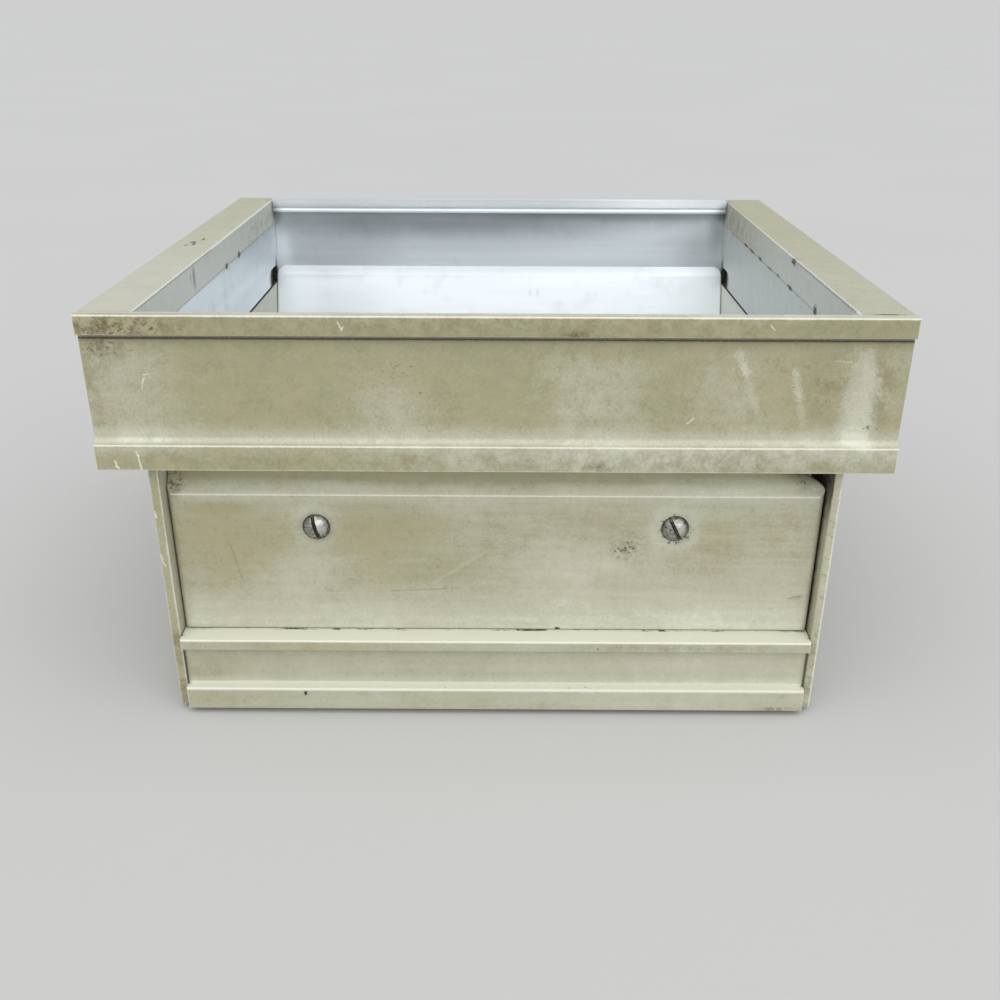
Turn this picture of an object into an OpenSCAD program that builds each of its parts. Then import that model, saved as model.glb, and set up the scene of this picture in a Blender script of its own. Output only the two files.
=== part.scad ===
// Small open-topped organizer: a wide rim frame of painted extrusions on a narrower
// plate base, with one sheet-metal drawer that slides out under the front rail.
// Millimetres, +Z up, front towards -Y, origin on the floor under the middle of the rim.

/* [Rim frame] */
// Width across the front rail
rim_w = 240; // [200:1:300]
// Depth from the front rail's face to the rear edge
rim_d = 209; // [175:1:260]
// Height of the rim frame
rim_h = 47.7; // [40:0.1:64]
// Depth of the front rail, face to back
front_rail_d = 4.2; // [3.6:0.1:6]
// Thickness of the front rail's web
front_web_t = 1.5; // [1:0.1:2.4]
// Height of the front rail's top flange
top_flange_h = 6; // [4:0.1:9]
// Height of the front rail's bottom flange
low_flange_h = 8.2; // [7:0.1:11]
// Radius of the hollow corner between the front rail's web and its bottom flange
cove_r = 2; // [0.8:0.1:2.4]
// Radius on the long edges of the extrusions
edge_r = 0.5; // [0.2:0.1:0.7]
// Width of a side rail's top face
side_rail_w = 16.3; // [14:0.1:22]
// Wall thickness of the side rails
side_wall_t = 1.8; // [1.2:0.1:2.4]

// Length of the notch low in a side rail's inner wall, beside the drawer's back
wall_notch_d = 14; // [8:0.5:20]
// Height of that notch
wall_notch_h = 7; // [4:0.1:10]
// Distance of that notch from the rear wall
wall_notch_gap = 4; // [2:0.1:10]

/* [Rear rail] */
// Depth of the rear rail's top face
rear_top_d = 6.7; // [6:0.1:9]
// Height of the lip along the rear rail's front edge
rear_lip_h = 5.7; // [4:0.1:9]
// Thickness of that lip
rear_lip_t = 1.4; // [1:0.1:1.6]
// Radius of the bead under the lip
bead_r = 1.2; // [0.7:0.1:1.3]
// Radius of the groove above the bead
groove_r = 0.45; // [0.2:0.05:0.5]
// How far the lip stands in front of the rear wall
rear_overhang = 1.6; // [1:0.1:2]
// Thickness of the rear wall
rear_wall_t = 1.5; // [1:0.1:1.8]

/* [Base] */
// Height of the base from the feet's tops to the rim's underside
base_h = 88; // [70:1:120]
// Thickness of the side plates
plate_t = 3; // [2.4:0.1:4]
// How far the side plates run up inside the rim
plate_lap = 11.3; // [10:0.1:16]
// How far the plates stand in from the side rails' inner walls
plate_step = 0.05; // [0:0.05:0.4]
// Distance of the plates' front edges behind the front rail's face
front_inset = 5.2; // [4.4:0.1:12]
// Height of the rail across the foot of the base
base_rail_h = 26.9; // [22:0.1:34]
// How far that rail's flanges stand in front of its web
base_rail_proud = 3; // [2:0.1:4]
// Height of its bottom flange
base_flange_h = 8.2; // [6:0.1:10]
// Height of the front face of its ledge
ledge_h = 4; // [3:0.1:6]
// Depth of the ledge, front edge to back
ledge_d = 12; // [11:0.1:16]
// Thickness of the base rail's web and shelf
base_web_t = 1.6; // [1.2:0.1:2]
// Thickness of the base's folded sheet pieces
sheet_t = 1.5; // [1:0.1:1.8]
// Height of the bottom panel's turned-up edges
panel_flange_h = 10; // [8:0.1:11]
// Depth of the back panel's turned-in edges
back_flange_d = 8; // [7:0.1:9]
// Width of a runner's shelf
runner_w = 12; // [10:0.1:14]
// Height of a runner
runner_h = 14.5; // [13:0.1:15]
// Diameter of a foot
foot_d = 12; // [8:0.1:16]
// Height of a foot
foot_h = 2; // [1.5:0.1:5]
// Distance of a foot's centre from the base's edges
foot_inset = 14; // [12:0.1:30]

/* [Drawer] */
// Travel of the drawer to its stop
drawer_travel = 110; // [60:1:120]
// Gap between the drawer's ends and the side plates
drawer_clear = 0.3; // [0.2:0.05:1]
// Distance of the drawer front behind the plates' front edges
front_recess = 4.4; // [3.6:0.1:7]
// Thickness of the drawer front's sheet
front_t = 1.6; // [1.2:0.1:2]
// Depth of the drawer front's turned-back ends
return_d = 7; // [5:0.1:8]
// Radius of its upright edges
fold_r = 2; // [1:0.1:3]
// Length of the lip along its slope
lip_len = 8.4; // [4:0.1:10]
// Lean of the lip from upright, in degrees
lip_lean = 40; // [25:1:55]
// Radius of the lip's left top corner
lip_corner_left = 1; // [0.5:0.1:5]
// Radius of the corner at the low end of the lip's right bevel
lip_corner_right = 2; // [0.5:0.1:3]
// Length of the lip's top that the right bevel takes off
lip_bevel_w = 8.1; // [4:0.1:10]
// Slope of the right bevel, in degrees
lip_bevel = 28.5; // [15:0.5:35]
// Gap between the lip's top and the rim's underside
lip_gap = 5; // [3:0.1:10]
// Thickness of the drawer's body sheets
drawer_sheet_t = 1.2; // [0.8:0.1:1.5]
// How far the drawer's sides stand in from the ends of its front
side_step = 3.2; // [2.6:0.1:6]
// Gap between the tops of the drawer's sides and the rim's underside
side_gap = 5; // [3:0.1:20]
// Width of the drawer sides' inturned feet
side_foot_w = 12; // [8:0.1:16]
// Height of the hem along the drawer sides' tops
hem_h = 6; // [4:0.1:10]
// Lean of the drawer's back from upright, in degrees
back_lean = 20; // [10:1:26]
// How far the back's upper fold lies above the rim's underside
back_rise = 14.4; // [10:0.1:20]
// Distance of that fold in front of the rear wall
back_gap = 4.9; // [4.5:0.1:10]
// Length of the lip on the drawer's back
back_lip_len = 4.4; // [3:0.1:6]
// Lean of that lip from upright, in degrees
back_lip_lean = 40; // [30:1:50]
// Radius of the back's top corners
back_corner_r = 3.5; // [2:0.1:5]
// Thickness of the glides under the drawer
glide_t = 1.3; // [1:0.1:2]
// Width of a glide
glide_w = 6; // [4:0.1:8]
// Running gap under the glides
glide_gap = 0.25; // [0.2:0.05:0.4]

/* [Fasteners] */
// Distance between the two screws in the drawer front
screw_spacing = 114; // [80:1:130]
// Distance of those screws below the front's fold
screw_drop = 10.7; // [8:0.1:20]
// Thread diameter of those screws
screw_d = 5; // [4:0.1:6]
// Head diameter of those screws
screw_head_d = 8.9; // [8:0.1:11]
// Height of the head's dome
screw_head_h = 2.4; // [1.8:0.1:3]
// Width and depth of the screwdriver slot
slot_w = 1.2; // [0.8:0.1:1.6]
// Lean of the left and right slots from upright, in degrees
slot_tilts = [15, 26]; // [0:1:180]
// Width across the flats of the nuts
nut_af = 8; // [7:0.1:10]
// Thickness of the nuts
nut_t = 3.5; // [3:0.1:5]
// Diameter of the washers under the nuts
washer_d = 10; // [9:0.1:12]
// Thickness of those washers
washer_t = 1; // [0.8:0.1:1.5]
// Diameter of the small screws in the frame
frame_screw_d = 2.4; // [2:0.1:2.6]
// Head diameter of the small screws
frame_head_d = 5; // [4:0.1:5.6]
// Head height of the small screws
frame_head_h = 1.6; // [1:0.1:2]
// Diameter of the rivets
rivet_d = 3.2; // [2.4:0.1:3.6]
// Head diameter of the rivets
rivet_head_d = 6; // [5:0.1:6.4]
// Head height of the rivets
rivet_head_h = 1.3; // [1:0.1:1.6]
// Diameter of the upset tails of the rivets
tail_d = 4.6; // [4:0.1:5]
// Height of those tails
tail_h = 0.9; // [0.6:0.1:1.2]
// Head diameter of the countersunk screws
csk_d = 5.4; // [4.6:0.1:6]
// Room between a fastener and its hole, on the radius
hole_clear = 0.05; // [0.05:0.01:0.1]

/* [Joining pieces] */
// Length of a corner cleat's legs
cleat_leg = 14; // [12:0.1:18]
// Height of a corner cleat above the side plates
cleat_h = 16; // [13:0.1:20]
// Distance of a corner cleat's screws from its bend
cleat_screw_in = 8; // [7:0.1:10]
// Distance of a corner cleat's screws from its upper and lower edges
cleat_screw_edge = 4.6; // [4:0.1:5]
// Depth of a corner cleat's screw in the front rail
cleat_bite = 2.8; // [2:0.1:3]
// Length of the base cleats' front legs
base_cleat_leg = 12; // [10:0.1:20]
// Length of the stop bar's legs
stop_leg = 10; // [8:0.1:14]
// Height of the stop edge turned down behind the drawer's floor
stop_drop = 10; // [6:0.1:12]
// Distance of the stop edge's ends from the runners
stop_room = 5; // [3:0.1:10]
// Length of the feet on the drawer's inner front and back
tab_len = 10; // [8:0.1:14]
// How far the drawer's inner front ends below the front's fold
inner_drop = 2; // [1:0.1:5]
// Distance of the outer plate screws from the plates' ends
plate_screw_edge = 56; // [20:1:70]
// Distance of the outer bottom-panel rivets from the plates' ends
panel_rivet_edge = 34; // [25:1:60]
// Distance of the bottom-panel rivets below the panel's turned-up edges
panel_rivet_drop = 4; // [3.4:0.1:5]
// Height of the lower back-panel rivets above the ledge
back_rivet_low = 8; // [5:0.1:20]
// Distance of the upper back-panel rivets below the rim
back_rivet_top = 14; // [6:0.1:24]
// Distance of the outer rear-rail rivets from the side rails
rear_rivet_edge = 18; // [10:0.1:30]
// Distance of the outer runner rivets from the runners' ends
runner_rivet_edge = 14; // [10:0.1:30]
// Height of the runner rivets above the runners' lower edges
runner_rivet_rise = 5; // [4:0.1:6]

/* [Hidden] */
$fn = 64;

paint = [0.66, 0.65, 0.54];
bare = [0.80, 0.82, 0.83];
zinc = [0.58, 0.58, 0.55];
nylon = [0.90, 0.89, 0.84];
rubber = [0.10, 0.10, 0.10];

// Play between pieces that only lie side by side
play = 0.1;
// Overlap that makes two forms of one piece a single solid
fuse = 0.2;
// Length that clears a wall in a cut
past = 1;
// Gap between a plate's top and the side rail's inner wall
wall_gap = 0.7;
// Radius of the corners of the notch in that wall
notch_r = 2.5;
// Gap between the ends of the base's front rail and the plates
rail_end_gap = 0.4;
// Gap between folded pieces that stand end to end
stack_gap = 0.5;
// Gap between the drawer front's lower edge and the ledge
front_rest = 0.35;
// Gap left between the stop edge and the stop bar when the drawer is out
stop_gap = 0.3;
// How far a small screw's point stands past the wall that it bites
screw_point = 1.5;
// How far a large screw's end stands past its nut
thread_past = 1;
// Difference between a foot's upper and lower diameters
foot_taper = 1;

// Heights
rim_z = foot_h + base_h;
top_z = rim_z + rim_h;
plate_top = rim_z + plate_lap;
inner_wall_z = plate_top + wall_gap;
ledge_z = foot_h + base_rail_h;

// Widths, measured from the middle
rail_in = rim_w / 2 - side_rail_w;
plate_in = rail_in - plate_step;
plate_out = plate_in + plate_t;
sheet_in = plate_in - sheet_t;
drawer_half = plate_in - drawer_clear;
side_out = drawer_half - side_step;
side_in = side_out - drawer_sheet_t;

// Depths, measured back from the front rail's face
plate_front = front_inset;
base_rail_front = plate_front - base_rail_proud;
base_web_back = plate_front + base_web_t;
ledge_back = base_rail_front + ledge_d;
rear_lip_y = rim_d - rear_top_d;
rear_wall_y = rear_lip_y + rear_overhang;
plate_rear = rear_wall_y;
notch_y = rear_wall_y - wall_notch_gap;
back_panel_y = plate_rear - sheet_t;
panel_y = plate_front + front_recess;
inner_front_y = panel_y + front_t;
inner_front_back = inner_front_y + drawer_sheet_t;

// Drawer front: the lip's top point sets the height of its fold
lip_rise = lip_len * cos(lip_lean) + front_t * sin(lip_lean);
front_z = ledge_z + front_rest;
front_fold_z = rim_z - lip_gap - lip_rise;
lip_top = front_fold_z + lip_rise;
bevel_drop = lip_corner_right + (lip_bevel_w - lip_corner_right) * sin(lip_bevel);
bevel_z = lip_top - bevel_drop / cos(lip_bevel);
bevel_x = drawer_half - lip_corner_right;
screw_z = front_fold_z - screw_drop;
screw_xs = [-screw_spacing / 2, screw_spacing / 2];

// Drawer body
glide_z = ledge_z + glide_gap;
floor_z = glide_z + glide_t;
floor_top = floor_z + drawer_sheet_t;
side_top = rim_z - side_gap;
back_fold_z = rim_z + back_rise;
back_fold_y = rear_wall_y - back_gap;
function back_y(z) = back_fold_y - (back_fold_z - z) * tan(back_lean);
floor_rear = back_y(floor_top);
stop_y = floor_rear - drawer_sheet_t - drawer_travel - stop_gap;
stop_half = plate_in - runner_w - stop_room;
// Feet of the drawer's inner front and back, between the feet of its sides
tab_half = side_out - side_foot_w - play;

// Corner cleats inside the rim's front corners
cleat_top = inner_wall_z + cleat_h;
cleat_screw_zs = [inner_wall_z + cleat_screw_edge, cleat_top - cleat_screw_edge];
cleat_screw_x = rail_in - cleat_screw_in;
cleat_screw_y = front_rail_d + cleat_screw_in;
low_screw_z = rim_z + low_flange_h / 2;

// Rivets through the rear wall and the back panel's upper edge
rear_rivet_z = rim_z + rear_wall_t + (plate_lap - rear_wall_t) / 2;
rear_rivet_x = rail_in - rear_rivet_edge;
rear_rivet_xs = [-rear_rivet_x, -rear_rivet_x / 3, rear_rivet_x / 3, rear_rivet_x];

// Fastener places along the base
plate_mid = (plate_front + plate_rear) / 2;
plate_screw_ys = [plate_front + plate_screw_edge, plate_mid, plate_rear - plate_screw_edge];
plate_screw_z = rim_z + side_wall_t + (plate_lap - side_wall_t) / 2;
csk_h = (csk_d - frame_screw_d) / 2;
panel_rivet_ys = [plate_front + panel_rivet_edge, plate_mid, plate_rear - panel_rivet_edge];
panel_rivet_z = foot_h + panel_flange_h - panel_rivet_drop;
back_rivet_y = back_panel_y - (back_flange_d - sheet_t) / 2;
back_rivet_zs = [ledge_z + back_rivet_low, rim_z - back_rivet_top];
base_cleat_back = ledge_back - play;
base_cleat_rivet_y = (base_web_back + sheet_t + base_cleat_back) / 2;
base_cleat_z = foot_h + panel_flange_h + stack_gap;
base_cleat_top = ledge_z - base_web_t - stack_gap;
base_cleat_rivet_z = (base_cleat_z + base_cleat_top) / 2;
runner_y0 = ledge_back + play;
runner_y1 = plate_rear - back_flange_d - stack_gap;
runner_mid = (runner_y0 + runner_y1) / 2;
runner_rivet_ys = [runner_y0 + runner_rivet_edge, runner_mid, runner_y1 - runner_rivet_edge];
runner_rivet_z = ledge_z - runner_h + runner_rivet_rise;

// Moves what is measured from the front rail's face into the part's frame.
module from_front() {
    translate([0, -rim_d / 2, 0]) children();
}

// Repeats a piece of the right-hand side on the left.
module both_sides() {
    children();
    mirror([1, 0, 0]) children();
}

// Sweeps a section drawn in depth and height across the width.
module along_x(x0, x1) {
    translate([x0, 0, 0]) rotate([90, 0, 90]) linear_extrude(x1 - x0) children();
}

// Sweeps a section drawn in width and height along the depth.
module along_y(y0, y1) {
    translate([0, y1, 0]) rotate([90, 0, 0]) linear_extrude(y1 - y0) children();
}

// A box between two corners.
module block(low, high) {
    translate(low) cube(high - low);
}

// A rectangle between two corners, in a section.
module strip(low, high) {
    translate(low) square(high - low);
}

// A rectangle between two corners with rounded corners, in a section.
module soft_strip(low, high, r) {
    strip([low[0] + r, low[1]], [high[0] - r, high[1]]);
    strip([low[0], low[1] + r], [high[0], high[1] - r]);
    for (x = [low[0] + r, high[0] - r], y = [low[1] + r, high[1] - r])
        translate([x, y]) circle(r);
}

// The filling of a hollow corner that opens towards -x and +y, in a section.
module hollow_corner(r) {
    difference() {
        strip([-r, -fuse], [fuse, r]);
        translate([-r, r]) circle(r + play / 5);
    }
}

// The rounded outside of a fold in a sheet, about the fold's inside corner, in a section.
module fold_round(t) {
    intersection() {
        circle(t);
        strip([-t, -t], [0, t]);
    }
}

// Rounds the upright edges of what is drawn in it, within a rectangle seen from above.
module soft_plan(low, high, r) {
    intersection() {
        children();
        linear_extrude(top_z) soft_strip(low, high, r);
    }
}

// A round rod between two points along X.
module rod_x(x0, x1, y, z, r) {
    translate([x0, y, z]) rotate([0, 90, 0]) cylinder(r = r, h = x1 - x0);
}

// A round rod between two points along Y.
module rod_y(y0, y1, x, z, r) {
    translate([x, y1, z]) rotate([90, 0, 0]) cylinder(r = r, h = y1 - y0);
}

// A low dome standing on z = 0.
module dome(r, h) {
    ball_r = (r * r + h * h) / (2 * h);
    intersection() {
        translate([0, 0, h - ball_r]) sphere(ball_r);
        translate([-r - past, -r - past, 0]) cube([2 * r + 2 * past, 2 * r + 2 * past, h + past]);
    }
}

// A rivet with its head at z = 0, set through the given thickness below.
module rivet(grip) {
    dome(rivet_head_d / 2, rivet_head_h);
    translate([0, 0, -grip - fuse]) cylinder(d = rivet_d, h = grip + 2 * fuse);
    translate([0, 0, -grip - tail_h]) cylinder(d = tail_d, h = tail_h);
}

// A small pan-head screw with its head seated at z = 0 and its shank below.
module pan_screw(reach) {
    dome(frame_head_d / 2, frame_head_h);
    translate([0, 0, -reach]) cylinder(d = frame_screw_d, h = reach + fuse);
}

// A rivet through the right-hand plate and one sheet, head outside.
module plate_rivet(y, z) {
    translate([plate_out, y, z]) rotate([0, 90, 0]) rivet(plate_t + sheet_t);
}

// The hole for a rivet through the right-hand plate or its sheet.
module rivet_hole(y, z) {
    rod_x(sheet_in - past, plate_out + past, y, z, rivet_d / 2 + hole_clear);
}

// Every rivet place on the right-hand plate's lower part.
module at_base_rivets() {
    for (y = panel_rivet_ys) translate([0, y, panel_rivet_z]) children();
    for (z = back_rivet_zs) translate([0, back_rivet_y, z]) children();
    translate([0, base_cleat_rivet_y, base_cleat_rivet_z]) children();
}

// Every rivet place along the right-hand runner.
module at_runner_rivets() {
    for (y = runner_rivet_ys) translate([0, y, runner_rivet_z]) children();
}

// Front rail: two flat beads joined by a set-back web.
module front_rail() {
    web_y = front_rail_d - front_web_t;
    half = rim_w / 2;
    color(paint) from_front() difference() {
        soft_plan([-half, 0], [half, front_rail_d + 2 * edge_r], edge_r) along_x(-half, half) {
            soft_strip([0, top_z - top_flange_h], [front_rail_d, top_z], edge_r);
            soft_strip([0, rim_z], [front_rail_d, rim_z + low_flange_h], edge_r);
            strip([web_y, low_screw_z], [front_rail_d, top_z - top_flange_h / 2]);
            translate([web_y, rim_z + low_flange_h]) hollow_corner(min(cove_r, web_y - edge_r));
        }
        both_sides()
            rod_y(front_rail_d - cleat_bite, front_rail_d + past, cleat_screw_x, low_screw_z,
                  frame_screw_d / 2 + hole_clear);
    }
}

// Right-hand side rail: a hollow section, open below to take the side plate.
module side_rail() {
    half = rim_w / 2;
    difference() {
        soft_plan([rail_in, 0], [half, rim_d], edge_r) along_y(front_rail_d, rim_d) intersection() {
            soft_strip([rail_in, rim_z], [half, top_z], edge_r);
            union() {
                strip([rail_in, top_z - side_wall_t], [half, top_z]);
                strip([half - side_wall_t, rim_z], [half, top_z]);
                strip([rail_in, inner_wall_z], [rail_in + side_wall_t, top_z]);
                strip([plate_out, rim_z], [half, rim_z + side_wall_t]);
                strip([plate_out, rim_z], [plate_out + side_wall_t, plate_top]);
            }
        }
        for (y = plate_screw_ys)
            rod_x(plate_out - past, plate_out + side_wall_t + past, y, plate_screw_z,
                  frame_screw_d / 2 + hole_clear);
        for (z = cleat_screw_zs)
            rod_x(rail_in - past, rail_in + side_wall_t + past, cleat_screw_y, z,
                  frame_screw_d / 2 + hole_clear);
        along_x(rail_in - past, rail_in + side_wall_t + past)
            soft_strip([notch_y - wall_notch_d, inner_wall_z - wall_notch_h],
                       [notch_y, inner_wall_z + wall_notch_h], notch_r);
    }
}

module left_side_rail() {
    color(paint) mirror([1, 0, 0]) from_front() side_rail();
}

module right_side_rail() {
    color(paint) from_front() side_rail();
}

// The hole for a rivet through the rear wall and the back panel.
module rear_rivet_hole(x) {
    rod_y(back_panel_y - past, rear_wall_y + rear_wall_t + past, x, rear_rivet_z,
          rivet_d / 2 + hole_clear);
}

// Rear rail: top face, grooved and beaded lip, set-back wall and bottom edge.
module rear_rail() {
    end = rail_in - play;
    bead_z = top_z - rear_lip_h + bead_r;
    color(bare) from_front() difference() {
        along_x(-end, end) {
            strip([rear_lip_y, top_z - rear_wall_t], [rim_d, top_z]);
            strip([rear_lip_y + groove_r, bead_z], [rear_lip_y + rear_lip_t, top_z]);
            strip([rear_lip_y, bead_z + bead_r + groove_r], [rear_lip_y + rear_lip_t, top_z]);
            translate([rear_lip_y + bead_r, bead_z]) circle(bead_r);
            strip([rear_wall_y, rim_z], [rear_wall_y + rear_wall_t, top_z]);
            strip([rear_wall_y, rim_z], [rim_d, rim_z + rear_wall_t]);
        }
        for (x = rear_rivet_xs) rear_rivet_hole(x);
    }
}

module rear_rail_rivets() {
    color(zinc) from_front() for (x = rear_rivet_xs)
        translate([x, rear_wall_y + rear_wall_t, rear_rivet_z]) rotate([-90, 0, 0])
            rivet(rear_wall_t + sheet_t);
}

// Right-hand corner cleat: an angle behind the front rail, cut away over the side plate.
module corner_cleat() {
    web_x = rail_in - sheet_t;
    back = front_rail_d + sheet_t;
    difference() {
        union() {
            block([rail_in - cleat_leg, front_rail_d, rim_z + stack_gap], [web_x, back, cleat_top]);
            block([web_x - fuse, front_rail_d, inner_wall_z + play], [rail_in, back, cleat_top]);
            block([web_x, front_rail_d, inner_wall_z + play],
                  [rail_in, front_rail_d + cleat_leg, cleat_top]);
        }
        rod_y(front_rail_d - past, back + past, cleat_screw_x, low_screw_z,
              frame_screw_d / 2 + hole_clear);
        for (z = cleat_screw_zs)
            rod_x(web_x - past, rail_in + past, cleat_screw_y, z, frame_screw_d / 2 + hole_clear);
    }
}

module left_corner_cleat() {
    color(bare) mirror([1, 0, 0]) from_front() corner_cleat();
}

module right_corner_cleat() {
    color(bare) from_front() corner_cleat();
}

module cleat_screws() {
    color(zinc) from_front() both_sides() {
        translate([cleat_screw_x, front_rail_d + sheet_t, low_screw_z]) rotate([-90, 0, 0])
            pan_screw(sheet_t + cleat_bite - play);
        for (z = cleat_screw_zs)
            translate([rail_in - sheet_t, cleat_screw_y, z]) rotate([0, -90, 0])
                pan_screw(sheet_t + side_wall_t + screw_point);
    }
}

// Right-hand side plate of the base.
module side_plate() {
    difference() {
        soft_plan([plate_in, plate_front], [plate_out, plate_rear], edge_r)
            block([plate_in, plate_front, foot_h], [plate_out, plate_rear, plate_top]);
        at_base_rivets() rivet_hole(0, 0);
        at_runner_rivets() rivet_hole(0, 0);
        for (y = plate_screw_ys) translate([plate_in, y, plate_screw_z]) rotate([0, 90, 0]) {
            translate([0, 0, -past]) cylinder(d = frame_screw_d + 2 * hole_clear, h = plate_t + 2 * past);
            cylinder(d1 = csk_d + 2 * hole_clear, d2 = frame_screw_d + 2 * hole_clear, h = csk_h);
        }
    }
}

module left_side_plate() {
    color(paint) mirror([1, 0, 0]) from_front() side_plate();
}

module right_side_plate() {
    color(paint) from_front() side_plate();
}

// Countersunk screws from inside the plates into the side rails.
module plate_screws() {
    color(zinc) from_front() both_sides() for (y = plate_screw_ys)
        translate([plate_in, y, plate_screw_z]) rotate([0, 90, 0]) {
            cylinder(d1 = csk_d, d2 = frame_screw_d, h = csk_h);
            cylinder(d = frame_screw_d, h = plate_t + side_wall_t + screw_point);
        }
}

// Rail across the foot of the base: bottom flange, set-back band and ledge.
module base_front_rail() {
    end = plate_in - rail_end_gap;
    color(paint) from_front()
        soft_plan([-end, base_rail_front], [end, ledge_back + 2 * edge_r], edge_r) along_x(-end, end) {
            soft_strip([base_rail_front, foot_h], [base_web_back, foot_h + base_flange_h], edge_r);
            soft_strip([base_rail_front, ledge_z - ledge_h], [base_web_back, ledge_z], edge_r);
            strip([plate_front, foot_h + base_flange_h / 2], [base_web_back, ledge_z - ledge_h / 2]);
            strip([plate_front, ledge_z - base_web_t], [ledge_back, ledge_z]);
        }
}

// Angles that hold the base rail's ends to the plates.
module base_rail_cleats() {
    back = base_web_back + sheet_t;
    color(bare) from_front() both_sides() difference() {
        union() {
            block([plate_in - base_cleat_leg, base_web_back, base_cleat_z],
                  [plate_in, back, base_cleat_top]);
            block([sheet_in, base_web_back, base_cleat_z],
                  [plate_in, base_cleat_back, base_cleat_top]);
        }
        rivet_hole(base_cleat_rivet_y, base_cleat_rivet_z);
    }
}

// Bottom panel: a shallow tray folded up along all four edges.
module base_bottom_panel() {
    edge = plate_in;
    y0 = base_web_back;
    y1 = back_panel_y;
    flange_z = foot_h + panel_flange_h;
    bend = 2 * sheet_t;
    color(bare) from_front() difference() {
        union() {
            along_y(y0 + bend, y1 - bend) difference() {
                soft_strip([-edge, foot_h], [edge, flange_z + bend], sheet_t);
                strip([-edge + sheet_t, foot_h + sheet_t], [edge - sheet_t, flange_z + 2 * bend]);
                strip([-edge - past, flange_z], [edge + past, flange_z + 2 * bend]);
            }
            along_x(-edge + bend, edge - bend) difference() {
                soft_strip([y0, foot_h], [y1, flange_z + bend], sheet_t);
                strip([y0 + sheet_t, foot_h + sheet_t], [y1 - sheet_t, flange_z + 2 * bend]);
                strip([y0 - past, flange_z], [y1 + past, flange_z + 2 * bend]);
            }
        }
        both_sides() for (y = panel_rivet_ys) rivet_hole(y, panel_rivet_z);
    }
}

// Back panel: a sheet with both ends turned in along the plates, run up behind the rear wall.
module base_back_panel() {
    flange_z = foot_h + panel_flange_h + stack_gap;
    color(bare) from_front() difference() {
        union() {
            block([-plate_in, back_panel_y, foot_h], [plate_in, plate_rear, plate_top]);
            both_sides() block([sheet_in, plate_rear - back_flange_d, flange_z],
                               [plate_in, plate_rear, rim_z - stack_gap]);
        }
        both_sides() for (z = back_rivet_zs) rivet_hole(back_rivet_y, z);
        for (x = rear_rivet_xs) rear_rivet_hole(x);
    }
}

module base_rivets() {
    color(zinc) from_front() both_sides() at_base_rivets() plate_rivet(0, 0);
}

// Right-hand runner: an angle whose top carries the drawer's glide.
module runner() {
    difference() {
        along_y(runner_y0, runner_y1) {
            strip([sheet_in, ledge_z - runner_h], [plate_in, ledge_z]);
            strip([plate_in - runner_w, ledge_z - sheet_t], [plate_in, ledge_z]);
        }
        at_runner_rivets() rivet_hole(0, 0);
    }
}

module left_runner() {
    color(bare) mirror([1, 0, 0]) from_front() runner();
}

module right_runner() {
    color(bare) from_front() runner();
}

module runner_rivets() {
    color(zinc) from_front() both_sides() at_runner_rivets() plate_rivet(0, 0);
}

// Angle between the runners that stops the drawer's turned-down rear edge.
module stop_bar() {
    end = sheet_in - tail_h - stack_gap;
    top = ledge_z - sheet_t;
    color(bare) from_front() along_x(-end, end) {
        strip([stop_y - stop_leg, top - sheet_t], [stop_y, top]);
        strip([stop_y - sheet_t, top - stop_leg], [stop_y, top]);
    }
}

// Four low feet under the bottom panel.
module feet() {
    color(rubber) from_front()
        for (x = [-1, 1], y = [plate_front + foot_inset, plate_rear - foot_inset])
            translate([x * (plate_out - foot_inset), y, 0])
                cylinder(d1 = foot_d - foot_taper, d2 = foot_d, h = foot_h);
}

// Drawer front: a sheet with rounded upright edges, turned-back ends and a lip that leans back.
module drawer_front() {
    lip_back = panel_y + front_t + lip_len;
    color(paint) from_front() difference() {
        intersection() {
            union() {
                along_x(-drawer_half, drawer_half) {
                    strip([panel_y, front_z], [inner_front_y, front_fold_z]);
                    translate([inner_front_y, front_fold_z]) {
                        fold_round(front_t);
                        rotate(-lip_lean) strip([-front_t, 0], [0, lip_len]);
                    }
                }
                both_sides() block([drawer_half - front_t, panel_y, front_z],
                                   [drawer_half, panel_y + return_d, front_fold_z - fold_r]);
            }
            along_y(panel_y - past, lip_back) {
                strip([-drawer_half, front_z], [0, lip_top - lip_corner_left]);
                strip([0, front_z], [drawer_half, bevel_z]);
                polygon([[-drawer_half + lip_corner_left, front_z], [bevel_x, front_z], [bevel_x, bevel_z],
                         [bevel_x + lip_corner_right * sin(lip_bevel),
                          bevel_z + lip_corner_right * cos(lip_bevel)],
                         [drawer_half - lip_bevel_w, lip_top],
                         [-drawer_half + lip_corner_left, lip_top]]);
                translate([-drawer_half + lip_corner_left, lip_top - lip_corner_left])
                    circle(lip_corner_left);
                translate([bevel_x, bevel_z]) circle(lip_corner_right);
            }
            linear_extrude(lip_top)
                soft_strip([-drawer_half, panel_y], [drawer_half, lip_back + 2 * fold_r], fold_r);
        }
        for (x = screw_xs)
            rod_y(panel_y - past, inner_front_y + past, x, screw_z, screw_d / 2 + hole_clear);
    }
}

// Inner front of the drawer's body, with a foot turned back onto the floor.
module drawer_inner_front() {
    color(bare) from_front() difference() {
        union() {
            block([-side_out, inner_front_y, floor_z],
                  [side_out, inner_front_back, front_fold_z - inner_drop]);
            block([-tab_half, inner_front_y, floor_top],
                  [tab_half, inner_front_back + tab_len, floor_top + drawer_sheet_t]);
        }
        for (x = screw_xs)
            rod_y(inner_front_y - past, inner_front_back + past, x, screw_z,
                  screw_d / 2 + hole_clear);
    }
}

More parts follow.
